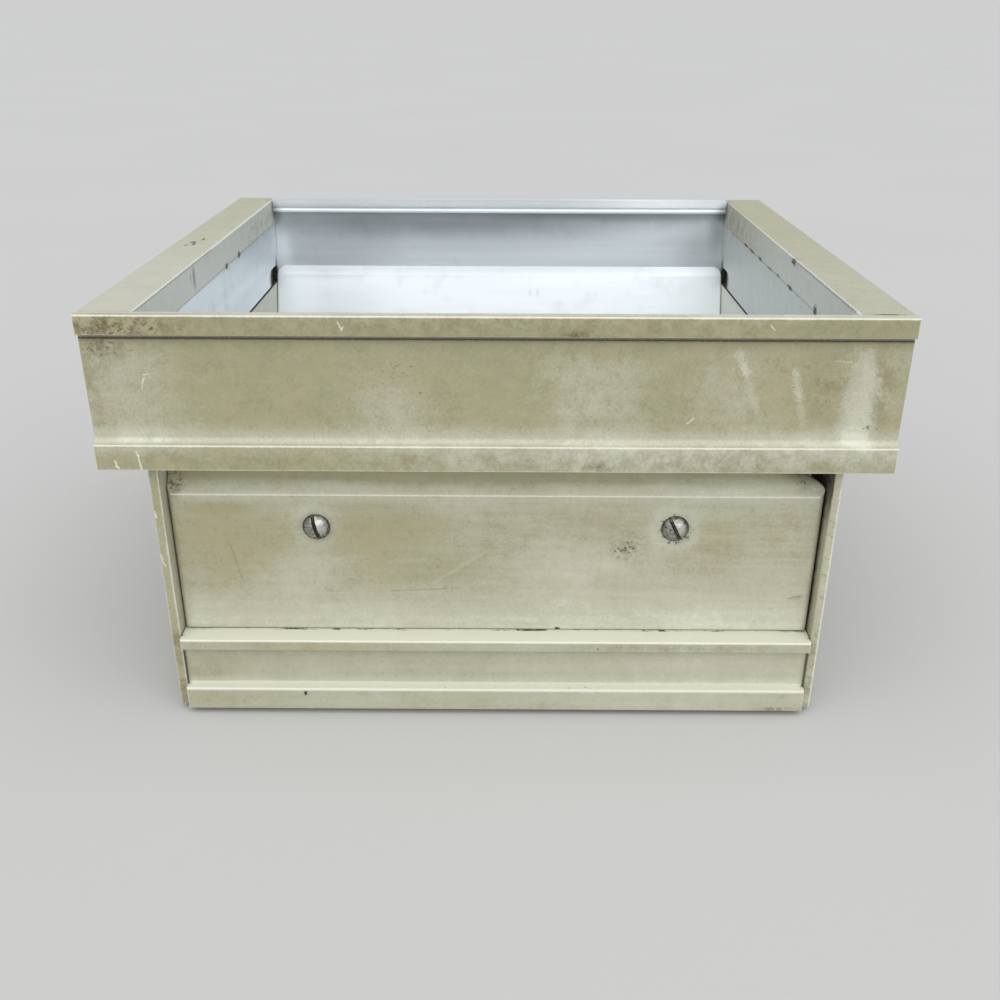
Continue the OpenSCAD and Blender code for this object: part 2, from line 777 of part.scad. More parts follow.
// Floor of the drawer, with its rear edge turned down as the stop.
module drawer_floor() {
    color(bare) from_front() {
        block([-side_out, inner_front_back, floor_z], [side_out, floor_rear, floor_top]);
        block([-stop_half, floor_rear - drawer_sheet_t, floor_z - stop_drop],
              [stop_half, floor_rear, floor_top]);
    }
}

// Right-hand side of the drawer: wall, inturned foot and hemmed top, cut to the lip and the back.
module drawer_side() {
    hem_in = side_in - drawer_sheet_t;
    intersection() {
        along_y(inner_front_back, rim_d) {
            strip([side_in, floor_top], [side_out, side_top]);
            strip([side_out - side_foot_w, floor_top], [side_out, floor_top + drawer_sheet_t]);
            soft_strip([hem_in, side_top - hem_h], [side_out, side_top], drawer_sheet_t / 2);
        }
        along_x(side_out - side_foot_w - past, side_out + past)
            polygon([
                [inner_front_back, floor_top],
                [back_y(floor_top), floor_top],
                [back_y(side_top), side_top],
                [inner_front_back + (side_top - front_fold_z) * tan(lip_lean), side_top],
                [inner_front_back, front_fold_z]
            ]);
    }
}

module drawer_left_side() {
    color(bare) mirror([1, 0, 0]) from_front() drawer_side();
}

module drawer_right_side() {
    color(bare) from_front() drawer_side();
}

// Leaning back of the drawer: a foot on the floor, a sloped sheet and a rounded lip.
module drawer_back() {
    slope = (back_fold_z - floor_top) / cos(back_lean);
    back_pivot = [back_fold_y + drawer_sheet_t * cos(back_lean),
                  back_fold_z - drawer_sheet_t * sin(back_lean)];
    top = back_pivot[1] + back_lip_len * cos(back_lip_lean) + drawer_sheet_t * sin(back_lip_lean);
    color(bare) from_front() {
        intersection() {
            along_x(-drawer_half, drawer_half) {
                translate(back_pivot) {
                    rotate(-back_lean) strip([-drawer_sheet_t, -slope], [0, 0]);
                    fold_round(drawer_sheet_t);
                    rotate(-back_lip_lean) strip([-drawer_sheet_t, 0], [0, back_lip_len]);
                }
            }
            along_y(0, rim_d) {
                strip([-drawer_half, floor_top], [drawer_half, top - 2 * back_corner_r]);
                soft_strip([-drawer_half, top - 4 * back_corner_r], [drawer_half, top],
                           back_corner_r);
            }
        }
        block([-tab_half, floor_rear - tab_len, floor_top],
              [tab_half, floor_rear + fuse, floor_top + drawer_sheet_t]);
    }
}

// Slippery strips that carry the drawer on the ledge and the runners.
module drawer_glides() {
    color(nylon) from_front() both_sides()
        block([side_out - glide_w, inner_front_back, glide_z],
              [side_out, floor_rear - drawer_sheet_t, floor_z]);
}

// Slotted round-head screws through the drawer front.
module front_screws() {
    reach = front_t + drawer_sheet_t + washer_t + nut_t + thread_past;
    color(zinc) from_front() for (side = [0, 1])
        translate([screw_xs[side], panel_y, screw_z]) rotate([90, 0, 0]) difference() {
            union() {
                dome(screw_head_d / 2, screw_head_h);
                translate([0, 0, -reach]) cylinder(d = screw_d, h = reach + fuse);
            }
            rotate(slot_tilts[side])
                translate([-slot_w / 2, -screw_head_d, screw_head_h - slot_w])
                    cube([slot_w, 2 * screw_head_d, 2 * slot_w]);
        }
}

module front_washers() {
    color(zinc) from_front() for (x = screw_xs) difference() {
        rod_y(inner_front_back, inner_front_back + washer_t, x, screw_z, washer_d / 2);
        rod_y(inner_front_back - past, inner_front_back + washer_t + past, x, screw_z,
              screw_d / 2 + hole_clear);
    }
}

module front_nuts() {
    y0 = inner_front_back + washer_t;
    color(zinc) from_front() for (x = screw_xs) difference() {
        translate([x, y0 + nut_t, screw_z]) rotate([90, 0, 0])
            cylinder(d = nut_af / cos(30), h = nut_t, $fn = 6);
        rod_y(y0 - past, y0 + nut_t + past, x, screw_z, screw_d / 2 + hole_clear);
    }
}

front_rail();
left_side_rail();
right_side_rail();
rear_rail();
rear_rail_rivets();
left_corner_cleat();
right_corner_cleat();
cleat_screws();
left_side_plate();
right_side_plate();
plate_screws();
base_front_rail();
base_rail_cleats();
base_bottom_panel();
base_back_panel();
base_rivets();
left_runner();
right_runner();
runner_rivets();
stop_bar();
feet();
drawer_front();
drawer_inner_front();
drawer_floor();
drawer_left_side();
drawer_right_side();
drawer_back();
drawer_glides();
front_screws();
front_washers();
front_nuts();
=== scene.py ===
"""Looks for the small parts organizer: aged cream paint, bare aluminium inside and worn steel screws."""

import math
import random

import bpy
from mathutils import Matrix, Vector


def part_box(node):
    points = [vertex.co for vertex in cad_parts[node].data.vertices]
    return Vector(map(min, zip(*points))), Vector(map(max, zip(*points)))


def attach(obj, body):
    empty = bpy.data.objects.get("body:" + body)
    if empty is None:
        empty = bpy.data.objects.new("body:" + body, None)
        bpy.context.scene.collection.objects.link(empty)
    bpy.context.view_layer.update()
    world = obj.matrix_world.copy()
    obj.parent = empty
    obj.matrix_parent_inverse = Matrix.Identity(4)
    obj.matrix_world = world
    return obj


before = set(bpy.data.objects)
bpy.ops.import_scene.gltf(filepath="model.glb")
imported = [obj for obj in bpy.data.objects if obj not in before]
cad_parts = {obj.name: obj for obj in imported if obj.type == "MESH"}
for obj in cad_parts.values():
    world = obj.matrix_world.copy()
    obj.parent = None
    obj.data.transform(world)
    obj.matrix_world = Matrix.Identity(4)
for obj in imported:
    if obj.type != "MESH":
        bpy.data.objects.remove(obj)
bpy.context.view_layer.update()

MM = 0.001
ANY = None  # a coordinate that a mark doesn't depend on
METAL_SHARE = 0.78  # of bare aluminium; its oxide makes up the rest
COLOUR_A, COLOUR_B, COLOUR_OUT = 6, 7, 2  # a Mix node's sockets for colours
SEED_SHIFT = (17.3, 5.1, 29.7)  # from one seed's noise to the next
ROLLED_X = (0.04, 1, 1)  # stretches noise into lines along X
ROLLED_Y = (1, 0.04, 1)

# Sizes of the sections, in millimetres
WEB_SETBACK = 2.7
TOP_FLANGE = 6.0
LOW_FLANGE = 8.2
LEDGE_H = 4.0
BASE_FLANGE = 8.2
BAND_SETBACK = 3.0
NOTCH_REAR = 95.4  # rear edge of the notch low in a side rail's inner wall
NOTCH_TOP = 109.0
WALL_LOW = 102.0  # lower edge of that wall
WALL_T = 1.8
REAR_WALL_Y = 99.4  # front face of the rear rail's wall
GLIDE_W = 6.0
HEAD_R = 4.45
SCREW_DROP = 10.7  # from the drawer front's fold down to its screws
SLOT_TILTS = (15, 26)  # of the left and right screw's slot, in degrees from upright

# Wear, dirt and painted shade, sizes in millimetres
WEB_SHADE = 1.4  # height of the web's strip of painted shade and dirt under the top flange
PAINT_DOWN = 10.4  # how far the paint reaches down a side rail's inner wall
SEAM_ROOM = 0.5  # at the ends of the dirt on the ledge, and beside the glides' paths
GLIDE_ROOM = 0.04  # between that dirt and the glides
DUST_AHEAD = 12  # start of the dark lumps behind a notch, ahead of the notch's rear edge
DUST_ROOM = 0.3  # between those lumps and the rail's rear end
DUST_LIFT = 0.02  # of those lumps over the plate's upper edge
SEAM_STEPS, DUST_STEPS = 420, 48

# Outline of the dirt on the ledge: depth from the drawer front's face, and share of the dirt's height
SEAM_SECTION = ((-1.0, 0.0), (-0.75, 0.55), (-0.3, 0.95), (0.3, 1.0), (1.0, 0.8), (1.0, 0.0))

# Floor, light and camera
FLOOR_HALF = 60.0  # metres
SKY = (0.94, 0.97, 1.0, 1.0)
SKY_STRENGTH = 0.50
LAMPS = (("high", 2.35, 100, 32, 4), ("low", 0.3, 100, 72, 12))  # strength; spread, tilt, turn in degrees
CAMERA_AT = (2.2, -395.2, 214.9)  # millimetres
CAMERA_DOWN, CAMERA_TURN, CAMERA_ROLL = 0.4318, -0.0029, 0.0039  # radians
SENSOR_W, LENS = 36.0, 37.91  # millimetres


def box_mm(node):
    """Lowest and highest corner of a CAD node, in millimetres."""
    low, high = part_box(node)
    return low / MM, high / MM


def srgb(red, green, blue):
    """A linear colour from the 0 to 255 values that a screen shows."""
    def linear(value):
        share = value / 255
        return share / 12.92 if share <= 0.04045 else ((share + 0.055) / 1.055) ** 2.4
    return (linear(red), linear(green), linear(blue), 1.0)


PALE = srgb(215, 216, 198)
CLEAN = srgb(191, 190, 170)
CREAM = srgb(175, 173, 149)
OLIVE = srgb(155, 153, 120)
TAN = srgb(166, 158, 126)
BROWN = srgb(98, 85, 57)
# Near-black: soot and dirt, and painted shade in gaps, hollows, slots and corners
SOOT = srgb(44, 40, 33)
# Pale: worn edges and scratches, and along edges a painted highlight
WORN_EDGE = srgb(222, 221, 205)
OVERSPRAY = srgb(216, 219, 211)
ALUMINIUM = srgb(237, 242, 246)
DULL_ALUMINIUM = srgb(220, 226, 230)
OXIDE = srgb(168, 173, 177)
# Near-white for painted highlights and reflections on bare aluminium
CHALK = srgb(246, 252, 255)
BRIGHT_STEEL = srgb(240, 241, 234)
STEEL = srgb(178, 179, 170)
DARK_STEEL = srgb(104, 104, 96)
NYLON = srgb(226, 223, 212)
NYLON_DIRT = srgb(176, 170, 150)
RUBBER = srgb(38, 37, 36)
RUBBER_DUST = srgb(92, 90, 86)
FLOOR = srgb(196, 196, 194)
FLOOR_SHADE = srgb(191, 191, 189)
FLOOR_SEEN = srgb(206, 207, 206)


class Look:
    """One node material, built from masks over the part's own coordinates in millimetres."""

    def __init__(self, name):
        self.material = bpy.data.materials.new(name)
        self.material.use_nodes = True
        self.tree = self.material.node_tree
        self.tree.nodes.clear()
        output = self.tree.nodes.new("ShaderNodeOutputMaterial")
        self.shader = self.tree.nodes.new("ShaderNodeBsdfPrincipled")
        self.tree.links.new(self.shader.outputs["BSDF"], output.inputs["Surface"])
        place = self.tree.nodes.new("ShaderNodeTexCoord").outputs["Object"]
        self.point = self.vector("SCALE", place, scale=1 / MM)
        split = self.tree.nodes.new("ShaderNodeSeparateXYZ")
        self.feed(split.inputs[0], self.point)
        self.x, self.y, self.z = split.outputs

    def feed(self, socket, value):
        """Links a node's output to a socket, or sets the socket to a number, vector or colour."""
        if isinstance(value, bpy.types.NodeSocket):
            self.tree.links.new(value, socket)
        else:
            socket.default_value = value

    def math(self, operation, *values, clamp=False):
        node = self.tree.nodes.new("ShaderNodeMath")
        node.operation = operation
        node.use_clamp = clamp
        for socket, value in zip(node.inputs, values):
            self.feed(socket, value)
        return node.outputs["Value"]

    def vector(self, operation, *values, scale=None):
        node = self.tree.nodes.new("ShaderNodeVectorMath")
        node.operation = operation
        for socket, value in zip(node.inputs, values):
            self.feed(socket, value)
        if scale is not None:
            self.feed(node.inputs["Scale"], scale)
        scalar = operation in ("DISTANCE", "LENGTH", "DOT_PRODUCT")
        return node.outputs["Value" if scalar else "Vector"]

    def step(self, value, low, high):
        """Rises smoothly from 0 at low to 1 at high, or falls if low is the larger."""
        node = self.tree.nodes.new("ShaderNodeMapRange")
        node.interpolation_type = "SMOOTHSTEP"
        self.feed(node.inputs["Value"], value)
        self.feed(node.inputs["From Min"], low)
        self.feed(node.inputs["From Max"], high)
        return node.outputs["Result"]

    def noise(self, size, detail=4.0, roughness=0.55, stretch=(1, 1, 1), seed=0.0, warp=0.0):
        """Cloudy values about 0.5, with forms up to about size millimetres across; warp frays them."""
        node = self.tree.nodes.new("ShaderNodeTexNoise")
        shift = tuple(c * seed for c in SEED_SHIFT)
        place = self.vector("MULTIPLY_ADD", self.point, stretch, shift)
        self.feed(node.inputs["Vector"], place)
        node.inputs["Scale"].default_value = 1 / size
        node.inputs["Detail"].default_value = detail
        node.inputs["Roughness"].default_value = roughness
        node.inputs["Distortion"].default_value = warp
        return node.outputs["Fac"]

    def mix(self, share, first, second):
        """Blends two colours."""
        node = self.tree.nodes.new("ShaderNodeMix")
        node.data_type = "RGBA"
        self.feed(node.inputs["Factor"], share)
        self.feed(node.inputs[COLOUR_A], first)
        self.feed(node.inputs[COLOUR_B], second)
        return node.outputs[COLOUR_OUT]

    def cover(self, colour, tint, mask, share):
        """A colour under a tint, which hides a share of it where the mask is 1."""
        return self.mix(self.math("MULTIPLY", mask, share), colour, tint)

    def ramp(self, value, colours):
        """A colour from evenly spaced ones, for a value from 0 to 1."""
        node = self.tree.nodes.new("ShaderNodeValToRGB")
        stops = node.color_ramp.elements
        while len(stops) < len(colours):
            stops.new(0.5)
        for place, (stop, colour) in enumerate(zip(stops, colours)):
            stop.position = place / (len(colours) - 1)
            stop.color = colour
        self.feed(node.inputs["Fac"], value)
        return node.outputs["Color"]

    def sway(self, value, gain):
        """A value about 0.5 turned into one about 0, times gain."""
        return self.math("MULTIPLY_ADD", value, gain, -gain / 2)

    def total(self, values):
        """The sum of several values, kept between 0 and 1."""
        result = 0.0
        for value in values:
            result = self.math("ADD", result, value, clamp=True)
        return result

    def nearest(self, values):
        """The least of several values."""
        result = values[0]
        for value in values[1:]:
            result = self.math("MINIMUM", result, value)
        return result

    def line(self, place):
        """Distance from a line along the axis whose coordinate is ANY."""
        flat = tuple(0.0 if c is ANY else 1.0 for c in place)
        at = tuple(0.0 if c is ANY else c for c in place)
        return self.vector("DISTANCE", self.vector("MULTIPLY", self.point, flat), at)

    def nearest_line(self, lines):
        """Distance from the nearest of several lines, each measured in its own width."""
        return self.nearest([self.math("DIVIDE", self.line(at), width) for at, width in lines])

    def spot(self, at, size, ragged, soft=0.45):
        """A patch with a ragged, soft edge: 1 in the middle and 0 outside."""
        shrink = tuple(0.0 if c is ANY else 1 / r for c, r in zip(at, size))
        middle = tuple(0.0 if c is ANY else c for c in at)
        from_middle = self.vector("SUBTRACT", self.point, middle)
        away = self.vector("LENGTH", self.vector("MULTIPLY", from_middle, shrink))
        return self.step(self.math("ADD", away, ragged), 1.0 + soft, 1.0 - soft)

    def spots(self, places, ragged):
        """One mask of several soft patches, each of its own strength."""
        return self.total([self.math("MULTIPLY", self.spot(at, size, ragged, 0.8), share)
                           for at, size, share in places])

    def scratch(self, start, end, width, ragged):
        """A thin mark from one point to another."""
        along = Vector(end) - Vector(start)
        from_start = self.vector("SUBTRACT", self.point, start)
        share = self.vector("DOT_PRODUCT", from_start, tuple(along / along.length_squared))
        share = self.math("MULTIPLY", share, 1.0, clamp=True)
        away = self.vector("DISTANCE", from_start, self.vector("SCALE", tuple(along), scale=share))
        return self.step(self.math("ADD", away, ragged), width, width * 0.3)

    def bump(self, height, depth):
        """Raises the surface by a height from 0 to 1 times depth, in millimetres."""
        node = self.tree.nodes.new("ShaderNodeBump")
        node.inputs["Strength"].default_value = 1.0
        node.inputs["Distance"].default_value = depth * MM
        self.feed(node.inputs["Height"], height)
        self.feed(self.shader.inputs["Normal"], node.outputs["Normal"])

    def finish(self, colour, roughness, metallic=0.0):
        self.feed(self.shader.inputs["Base Color"], colour)
        self.feed(self.shader.inputs["Roughness"], roughness)
        self.feed(self.shader.inputs["Metallic"], metallic)
        return self.material


def metal_sheen(look, grain, streaks, dull=(), dark=(), chalk=()):
    """Colour, roughness, share of metal and rolling lines of bare mill-finish aluminium.

    The lines run along the stretched axis. In places the metal is dull; glare patches lift it towards
    white as painted highlights and reflections; dark patches darken it with dirt and with painted
    shade in corners and under edges."""
    lines = look.noise(1.0, 3, stretch=grain, seed=5)
    bands = look.noise(9, 3, stretch=grain, seed=14)
    cloud = look.noise(11, 5, 0.65, seed=7)
    smudge = look.step(cloud, 0.52, 0.75)
    streak = look.math("MULTIPLY", look.step(bands, 0.35, 0.65), streaks)
    colour = look.mix(streak, ALUMINIUM, DULL_ALUMINIUM)
    colour = look.cover(colour, OXIDE, smudge, 0.2)
    ragged = look.math("ADD", look.sway(bands, 1.2), look.sway(cloud, 0.6))
    metallic = METAL_SHARE
    for at, size, share in dull:
        colour = look.cover(colour, OXIDE, look.spot(at, size, ragged, 0.8), share)
    # Glare patches: painted highlights and reflections, lighter and less metallic
    if chalk:
        white = look.spots(chalk, ragged)
        colour = look.mix(white, colour, CHALK)
        metallic = look.math("MULTIPLY_ADD", white, -0.8 * METAL_SHARE, METAL_SHARE)
    for at, size, share in dark:
        colour = look.cover(colour, SOOT, look.spot(at, size, ragged, 0.7), share)
    roughness = look.math("ADD", look.sway(lines, 0.2), look.math("MULTIPLY_ADD", smudge, 0.08, 0.46))
    return colour, roughness, metallic, lines


def patina(look, age, streaks, rough, patches, bands):
    """How deep the olive patina is: 1 is deepest, 0 is clean paint and below 0 is rubbed pale.

    streaks and rough set how strong its wiping marks and its grain are. Patches have ragged edges
    and bands smooth ones, and both deepen or lift the patina; some bands paint shade and highlights."""
    cloud = look.noise(28, 6, 0.62, seed=1)
    mottle = look.noise(5, 7, 0.72, seed=2)
    fleck = look.noise(0.9, 4, 0.75, seed=3)
    wipe = look.noise(2.4, 4, 0.6, stretch=(0.06, 1, 1), seed=4)
    depth = look.math("ADD", look.sway(cloud, 0.7), look.math("ADD", look.sway(mottle, rough), age))
    grain = look.math("ADD", look.sway(wipe, streaks), look.sway(fleck, 1.2 * rough))
    depth = look.math("ADD", depth, grain)
    ragged = look.math("ADD", look.sway(mottle, 1.3), look.sway(cloud, 1.0))
    for at, size, share in patches:
        depth = look.math("MULTIPLY_ADD", look.spot(at, size, ragged, 0.65), share, depth)
    for at, size, share in bands:
        depth = look.math("MULTIPLY_ADD", look.spot(at, size, 0.0, 0.9), share, depth)
    return depth, mottle, fleck


def warmed(look, colour, depth, rough, ragged, tan):
    """The colour with warm tan blotches where the patina is deep."""
    warm = look.math("MULTIPLY", look.step(look.noise(22, 5, 0.62, seed=8), 0.45, 0.62), 0.4)
    blotch = look.step(look.noise(6, 5, 0.7, seed=16), 0.48, 0.62)
    warm = look.math("MULTIPLY_ADD", blotch, 0.45 * rough, warm, clamp=True)
    for at, size, share in tan:
        warm = look.math("MULTIPLY_ADD", look.spot(at, size, ragged, 0.8), share, warm, clamp=True)
    return look.cover(colour, TAN, warm, look.step(depth, 0.3, 0.8))


def aged_paint(name, age, streaks, rough=1.0, patches=(), bands=(), tan=(), dull=(), grey=None,
               bare=None, **marks):
    """Cream paint under an olive patina, of a mean depth age, with the marks that wear() adds.

    grey(look) masks a thin grey: overspray, and on the side rails' tops a painted reflection of the sky.
    bare(look) masks bare metal, which is dull in places."""
    look = Look(name)
    depth, mottle, fleck = patina(look, age, streaks, rough, patches, bands)
    colour = look.ramp(look.math("MULTIPLY_ADD", depth, 2 / 3, 1 / 3), (PALE, CLEAN, CREAM, OLIVE))
    colour = warmed(look, colour, depth, rough, look.sway(mottle, 1.6), tan)
    roughness = look.math("MULTIPLY_ADD", look.math("MULTIPLY", depth, 1.0, clamp=True), 0.12, 0.38)
    metallic = 0.0
    if grey is not None:
        colour = look.mix(grey(look), colour, OVERSPRAY)
    if bare is not None:
        share = bare(look)
        metal_colour, metal_roughness, metal_share, _ = metal_sheen(look, ROLLED_Y, 0.6, dull)
        colour = look.mix(share, colour, metal_colour)
        spread = look.math("SUBTRACT", metal_roughness, roughness)
        roughness = look.math("MULTIPLY_ADD", spread, share, roughness)
        metallic = look.math("MULTIPLY", share, metal_share)
    colour, height = wear(look, colour, depth, mottle, fleck, **marks)
    look.bump(height, depth=0.05)
    return look.finish(colour, roughness, metallic)


def wear(look, colour, depth, mottle, fleck, edges=(), scratches=(), cuts=(), chips=(), **dirt):
    """The colour with all its marks, and the height of the surface."""
    grit = look.noise(0.6, 4, 0.7, seed=9)
    colour = veined(look, colour, depth, mottle, grit)
    colour = stained(look, colour, mottle, fleck, **dirt)
    return scored(look, colour, mottle, fleck, grit, edges, scratches, cuts, chips)


def veined(look, colour, depth, mottle, grit):
    """The colour with pale flecks and thin dark veins where the patina is deep."""
    pale = look.math("MULTIPLY", look.step(grit, 0.37, 0.29), look.step(depth, 0.4, 0.8))
    colour = look.cover(colour, CLEAN, pale, 0.5)
    vein = look.math("ABSOLUTE", look.sway(look.noise(7, 6, 0.7, seed=10), 1.0))
    where = look.math("MULTIPLY", look.step(mottle, 0.46, 0.58), look.step(depth, 0.2, 0.7))
    return look.cover(colour, BROWN, look.step(vein, 0.014, 0.003), look.math("MULTIPLY", where, 0.3))


def stained(look, colour, mottle, fleck, brown=(), soot=(), specks=(), grime=(), hollow=None):
    """The colour with stains, soot and painted shade, dark specks, and grime with painted shade along
    hollow corners.

    hollow(look) masks insides coloured near-black as painted shade."""
    ragged = look.sway(mottle, 1.6)
    crumb = look.noise(1.4, 5, 0.72, seed=15, warp=0.25)
    blot = look.math("MULTIPLY_ADD", mottle, 0.6, look.math("MULTIPLY", crumb, 0.4))
    for at, size, share in brown:
        stain = look.math("MULTIPLY", look.spot(at, size, ragged, 0.8), look.step(blot, 0.42, 0.60))
        colour = look.cover(colour, BROWN, stain, share)
    for at, size, share in soot:
        colour = look.cover(colour, SOOT, look.spot(at, size, ragged, 0.6), share)
    if hollow is not None:
        colour = look.mix(hollow(look), colour, SOOT)
    speck = look.step(look.math("MULTIPLY_ADD", look.spots(specks, ragged), 0.25, crumb), 0.75, 0.80)
    colour = look.cover(colour, look.mix(look.step(fleck, 0.45, 0.6), BROWN, SOOT), speck, 0.7)
    # Grime lines: dirt and painted shade along gaps and under overhangs, brown beside and near-black in the
    # middle
    if grime:
        gap = look.nearest_line(grime)
        colour = look.cover(colour, BROWN, look.step(gap, 4.0, 0.5), 0.3)
        core = look.step(look.math("ADD", gap, look.sway(fleck, 2.0)), 1.2, 0.6)
        colour = look.cover(colour, SOOT, core, 0.8)
    return colour


def scored(look, colour, mottle, fleck, grit, edges, scratches, cuts, chips):
    """The colour with pale scratches, dark cuts and chips, and pale edges of wear and painted highlight,
    and the surface's height.
    """
    frayed = look.sway(grit, 4.0)
    height = look.math("MULTIPLY", fleck, 0.3)
    for tint, lines in ((WORN_EDGE, scratches), (BROWN, cuts)):
        for start, end, width, share in lines:
            mark = look.scratch(start, end, width, look.math("MULTIPLY", frayed, width))
            colour = look.cover(colour, tint, mark, share)
            height = look.math("MULTIPLY_ADD", mark, -0.4 * share, height)
    for at, size in chips:
        flake = look.spot(at, size, frayed, 0.3)
        colour = look.mix(flake, colour, SOOT)
        height = look.math("MULTIPLY_ADD", flake, -0.6, height)
    # Pale edge lines: worn paint, and a painted highlight where light catches the edges
    if edges:
        sway = look.math("ADD", look.sway(mottle, 0.7), look.sway(fleck, 0.7))
        rub = look.math("ADD", look.nearest_line(edges), sway)
        colour = look.cover(colour, WORN_EDGE, look.step(rub, 1.15, 0.4), 0.85)
    return colour, height


def bare_aluminium(name, grain, streaks=1.0, **places):
    look = Look(name)
    colour, roughness, metallic, lines = metal_sheen(look, grain, streaks, **places)
    look.bump(lines, depth=0.012)
    return look.finish(colour, roughness, metallic)


rail_low, rail_high = box_mm("front_rail")
side_low, side_high = box_mm("right_side_rail")
plate_low, plate_high = box_mm("right_side_plate")
panel_low, panel_high = box_mm("drawer_front")
base_low, base_high = box_mm("base_front_rail")
rear_low, rear_high = box_mm("rear_rail")
back_low, back_high = box_mm("drawer_back")
screw_low, screw_high = box_mm("front_screws")
rim_half = rail_high.x
front_y = rail_low.y
web_y = front_y + WEB_SETBACK
flange_bottom = rail_high.z - TOP_FLANGE
flange_top = rail_low.z + LOW_FLANGE
ledge_bottom = base_high.z - LEDGE_H
base_flange_top = base_low.z + BASE_FLANGE
band_y = base_low.y + BAND_SETBACK
panel_y = panel_low.y
screw_z = (screw_low.z + screw_high.z) / 2
screw_xs = (screw_low.x + HEAD_R, screw_high.x - HEAD_R)
fold_z = screw_z + SCREW_DROP


def x_lines(pairs, width):
    """Lines across the width, at pairs of depth and height."""
    return [((ANY, y, z), width) for y, z in pairs]


def front_rail_paint():
    def inside(look):
        """Bare metal on the back of the web, below a ragged line of overspray."""
        ragged = look.sway(look.noise(3, 4, seed=11), 5.0)
        back = look.step(look.y, rail_high.y - 0.3, rail_high.y - 0.1)
        below = look.step(look.math("ADD", look.z, ragged), rail_high.z - 9, rail_high.z - 9.4)
        return look.math("MULTIPLY", back, below)
    ends = [((x, front_y, ANY), 0.5) for x in (-rim_half, rim_half)]
    return aged_paint(
        "front_rail_paint", 0.75, 0.35,
        # Pale edge lines: worn paint and painted highlight
        edges=x_lines([(front_y, rail_high.z), (front_y, flange_top)], 0.55)
        + x_lines([(front_y, flange_bottom)], 0.35) + x_lines([(front_y, rail_low.z)], 0.5) + ends,
        # A dark line of painted shade and dirt on the web under the top flange
        grime=x_lines([(web_y, flange_bottom - WEB_SHADE)], 0.33),
        patches=[((-72, ANY, 117), (36, 1, 15), 0.25), ((-12, ANY, 119), (14, 1, 14), 0.22),
                 ((7, ANY, 116), (10, 1, 14), 0.22), ((50, ANY, 114), (13, 1, 13), 0.22),
                 ((97, ANY, 117), (9, 1, 11), 0.3), ((-104, front_y, 134.5), (28, 2, 5), 0.85),
                 ((20, front_y, 134.5), (60, 2, 5), 0.2), ((105, front_y, 134.5), (20, 2, 5), 0.3),
                 ((-80, front_y, 94), (42, 2, 5), 0.3), ((60, front_y, 94), (50, 2, 5), -0.35),
                 ((-104, ANY, 114), (13, 1, 14), -0.33), ((-32, ANY, 110), (10, 1, 9), -0.35),
                 ((29, ANY, 115), (16, 1, 9), -0.25), ((66, ANY, 113), (10, 1, 8), -0.2),
                 ((107, ANY, 112), (4.5, 1, 15), -0.65)],
        # Bands: a painted highlight along the low flange's top, a paler top face, painted shade on the web
        # under the top flange, and a paler right end
        bands=[((ANY, web_y, flange_top), (1, 3, 4), -0.75),
               ((ANY, ANY, rail_high.z), (1, 1, 0.35), -0.8),
               ((ANY, web_y, flange_bottom), (1, 3, 3), 0.35), ((107, ANY, 112), (9, 1, 15), -0.15)],
        tan=[((-28, ANY, 119), (12, 1, 7), 0.5), ((92, ANY, 116), (10, 1, 12), 0.4),
             ((-106, front_y, 134.5), (20, 2, 5), 0.9), ((110, web_y, 116), (5, 1, 14), 0.6)],
        brown=[((23, front_y, 132.4), (4.5, 2, 1.1), 0.9), ((31, front_y, 91.8), (4.5, 2, 1.3), 0.6),
               ((-109, front_y, 134.5), (17, 2, 4), 0.95), ((-113, web_y, 127), (7, 1, 4), 0.5),
               ((-118, web_y, 116), (2, 1, 14), 0.25), ((113, web_y, 117), (3, 1, 15), 0.35),
               ((97, web_y, 116), (8, 1, 9), 0.3), ((72, front_y, 94), (46, 2, 4), 0.2),
               ((0, front_y, 134.5), (130, 2, 4), 0.32), ((-10, front_y, 94), (120, 2, 4), 0.2)],
        specks=[((-112, ANY, 128), (10, 1, 4), 0.65), ((-117, ANY, 114), (4, 1, 14), 0.2),
                ((112, ANY, 116), (3.5, 1, 15), 0.35), ((-29, ANY, 119), (13, 1, 7), 0.4),
                ((-106, front_y, 134.8), (18, 2, 4), 0.47), ((111, ANY, 103.5), (4, 1, 1.2), 0.6),
                ((0, front_y, 134.8), (120, 2, 5), 0.42), ((96, ANY, 115), (9, 1, 10), 0.35),
                ((0, web_y, 115), (120, 1, 18), 0.3), ((0, front_y, 94), (120, 2, 5), 0.25)],
        scratches=[((70.3, web_y, 126.2), (72.6, web_y, 121), 1.7, 0.32),
                   ((72.2, web_y, 122), (76.8, web_y, 109), 1.5, 0.16),
                   ((86.9, web_y, 121), (88.8, web_y, 113.5), 1.6, 0.3),
                   ((88.6, web_y, 114.5), (91, web_y, 105), 1.4, 0.18),
                   ((-102.6, web_y, 119.4), (-101.0, web_y, 119.5), 0.32, 0.7),
                   ((-102.6, web_y, 118.2), (-103.2, web_y, 117.2), 0.35, 0.8),
                   ((-103.0, web_y, 117.4), (-103.9, web_y, 114.6), 0.22, 0.6),
                   ((-44.7, front_y, 135.9), (-43.9, front_y, 134.2), 0.3, 0.8),
                   ((-43.2, front_y, 134.6), (-43.9, front_y, 133.6), 0.25, 0.7),
                   ((77.6, front_y, 135.6), (78.9, front_y, 134.2), 0.3, 0.9),
                   ((-113.9, front_y, 93.2), (-113.7, front_y, 91.4), 0.45, 0.9),
                   ((-113.9, front_y, 91.6), (-113.2, front_y, 90.8), 0.4, 0.9),
                   ((-107.1, front_y, 95.8), (-106.7, front_y, 94.8), 0.5, 0.9),
                   ((-106.8, front_y, 95.0), (-106.4, front_y, 90.4), 0.3, 0.9),
                   ((58.6, web_y, 106.6), (56.8, web_y, 105), 0.3, 0.7),
                   ((98, web_y, 124.5), (103, web_y, 124), 0.25, 0.4)],
        bare=inside)


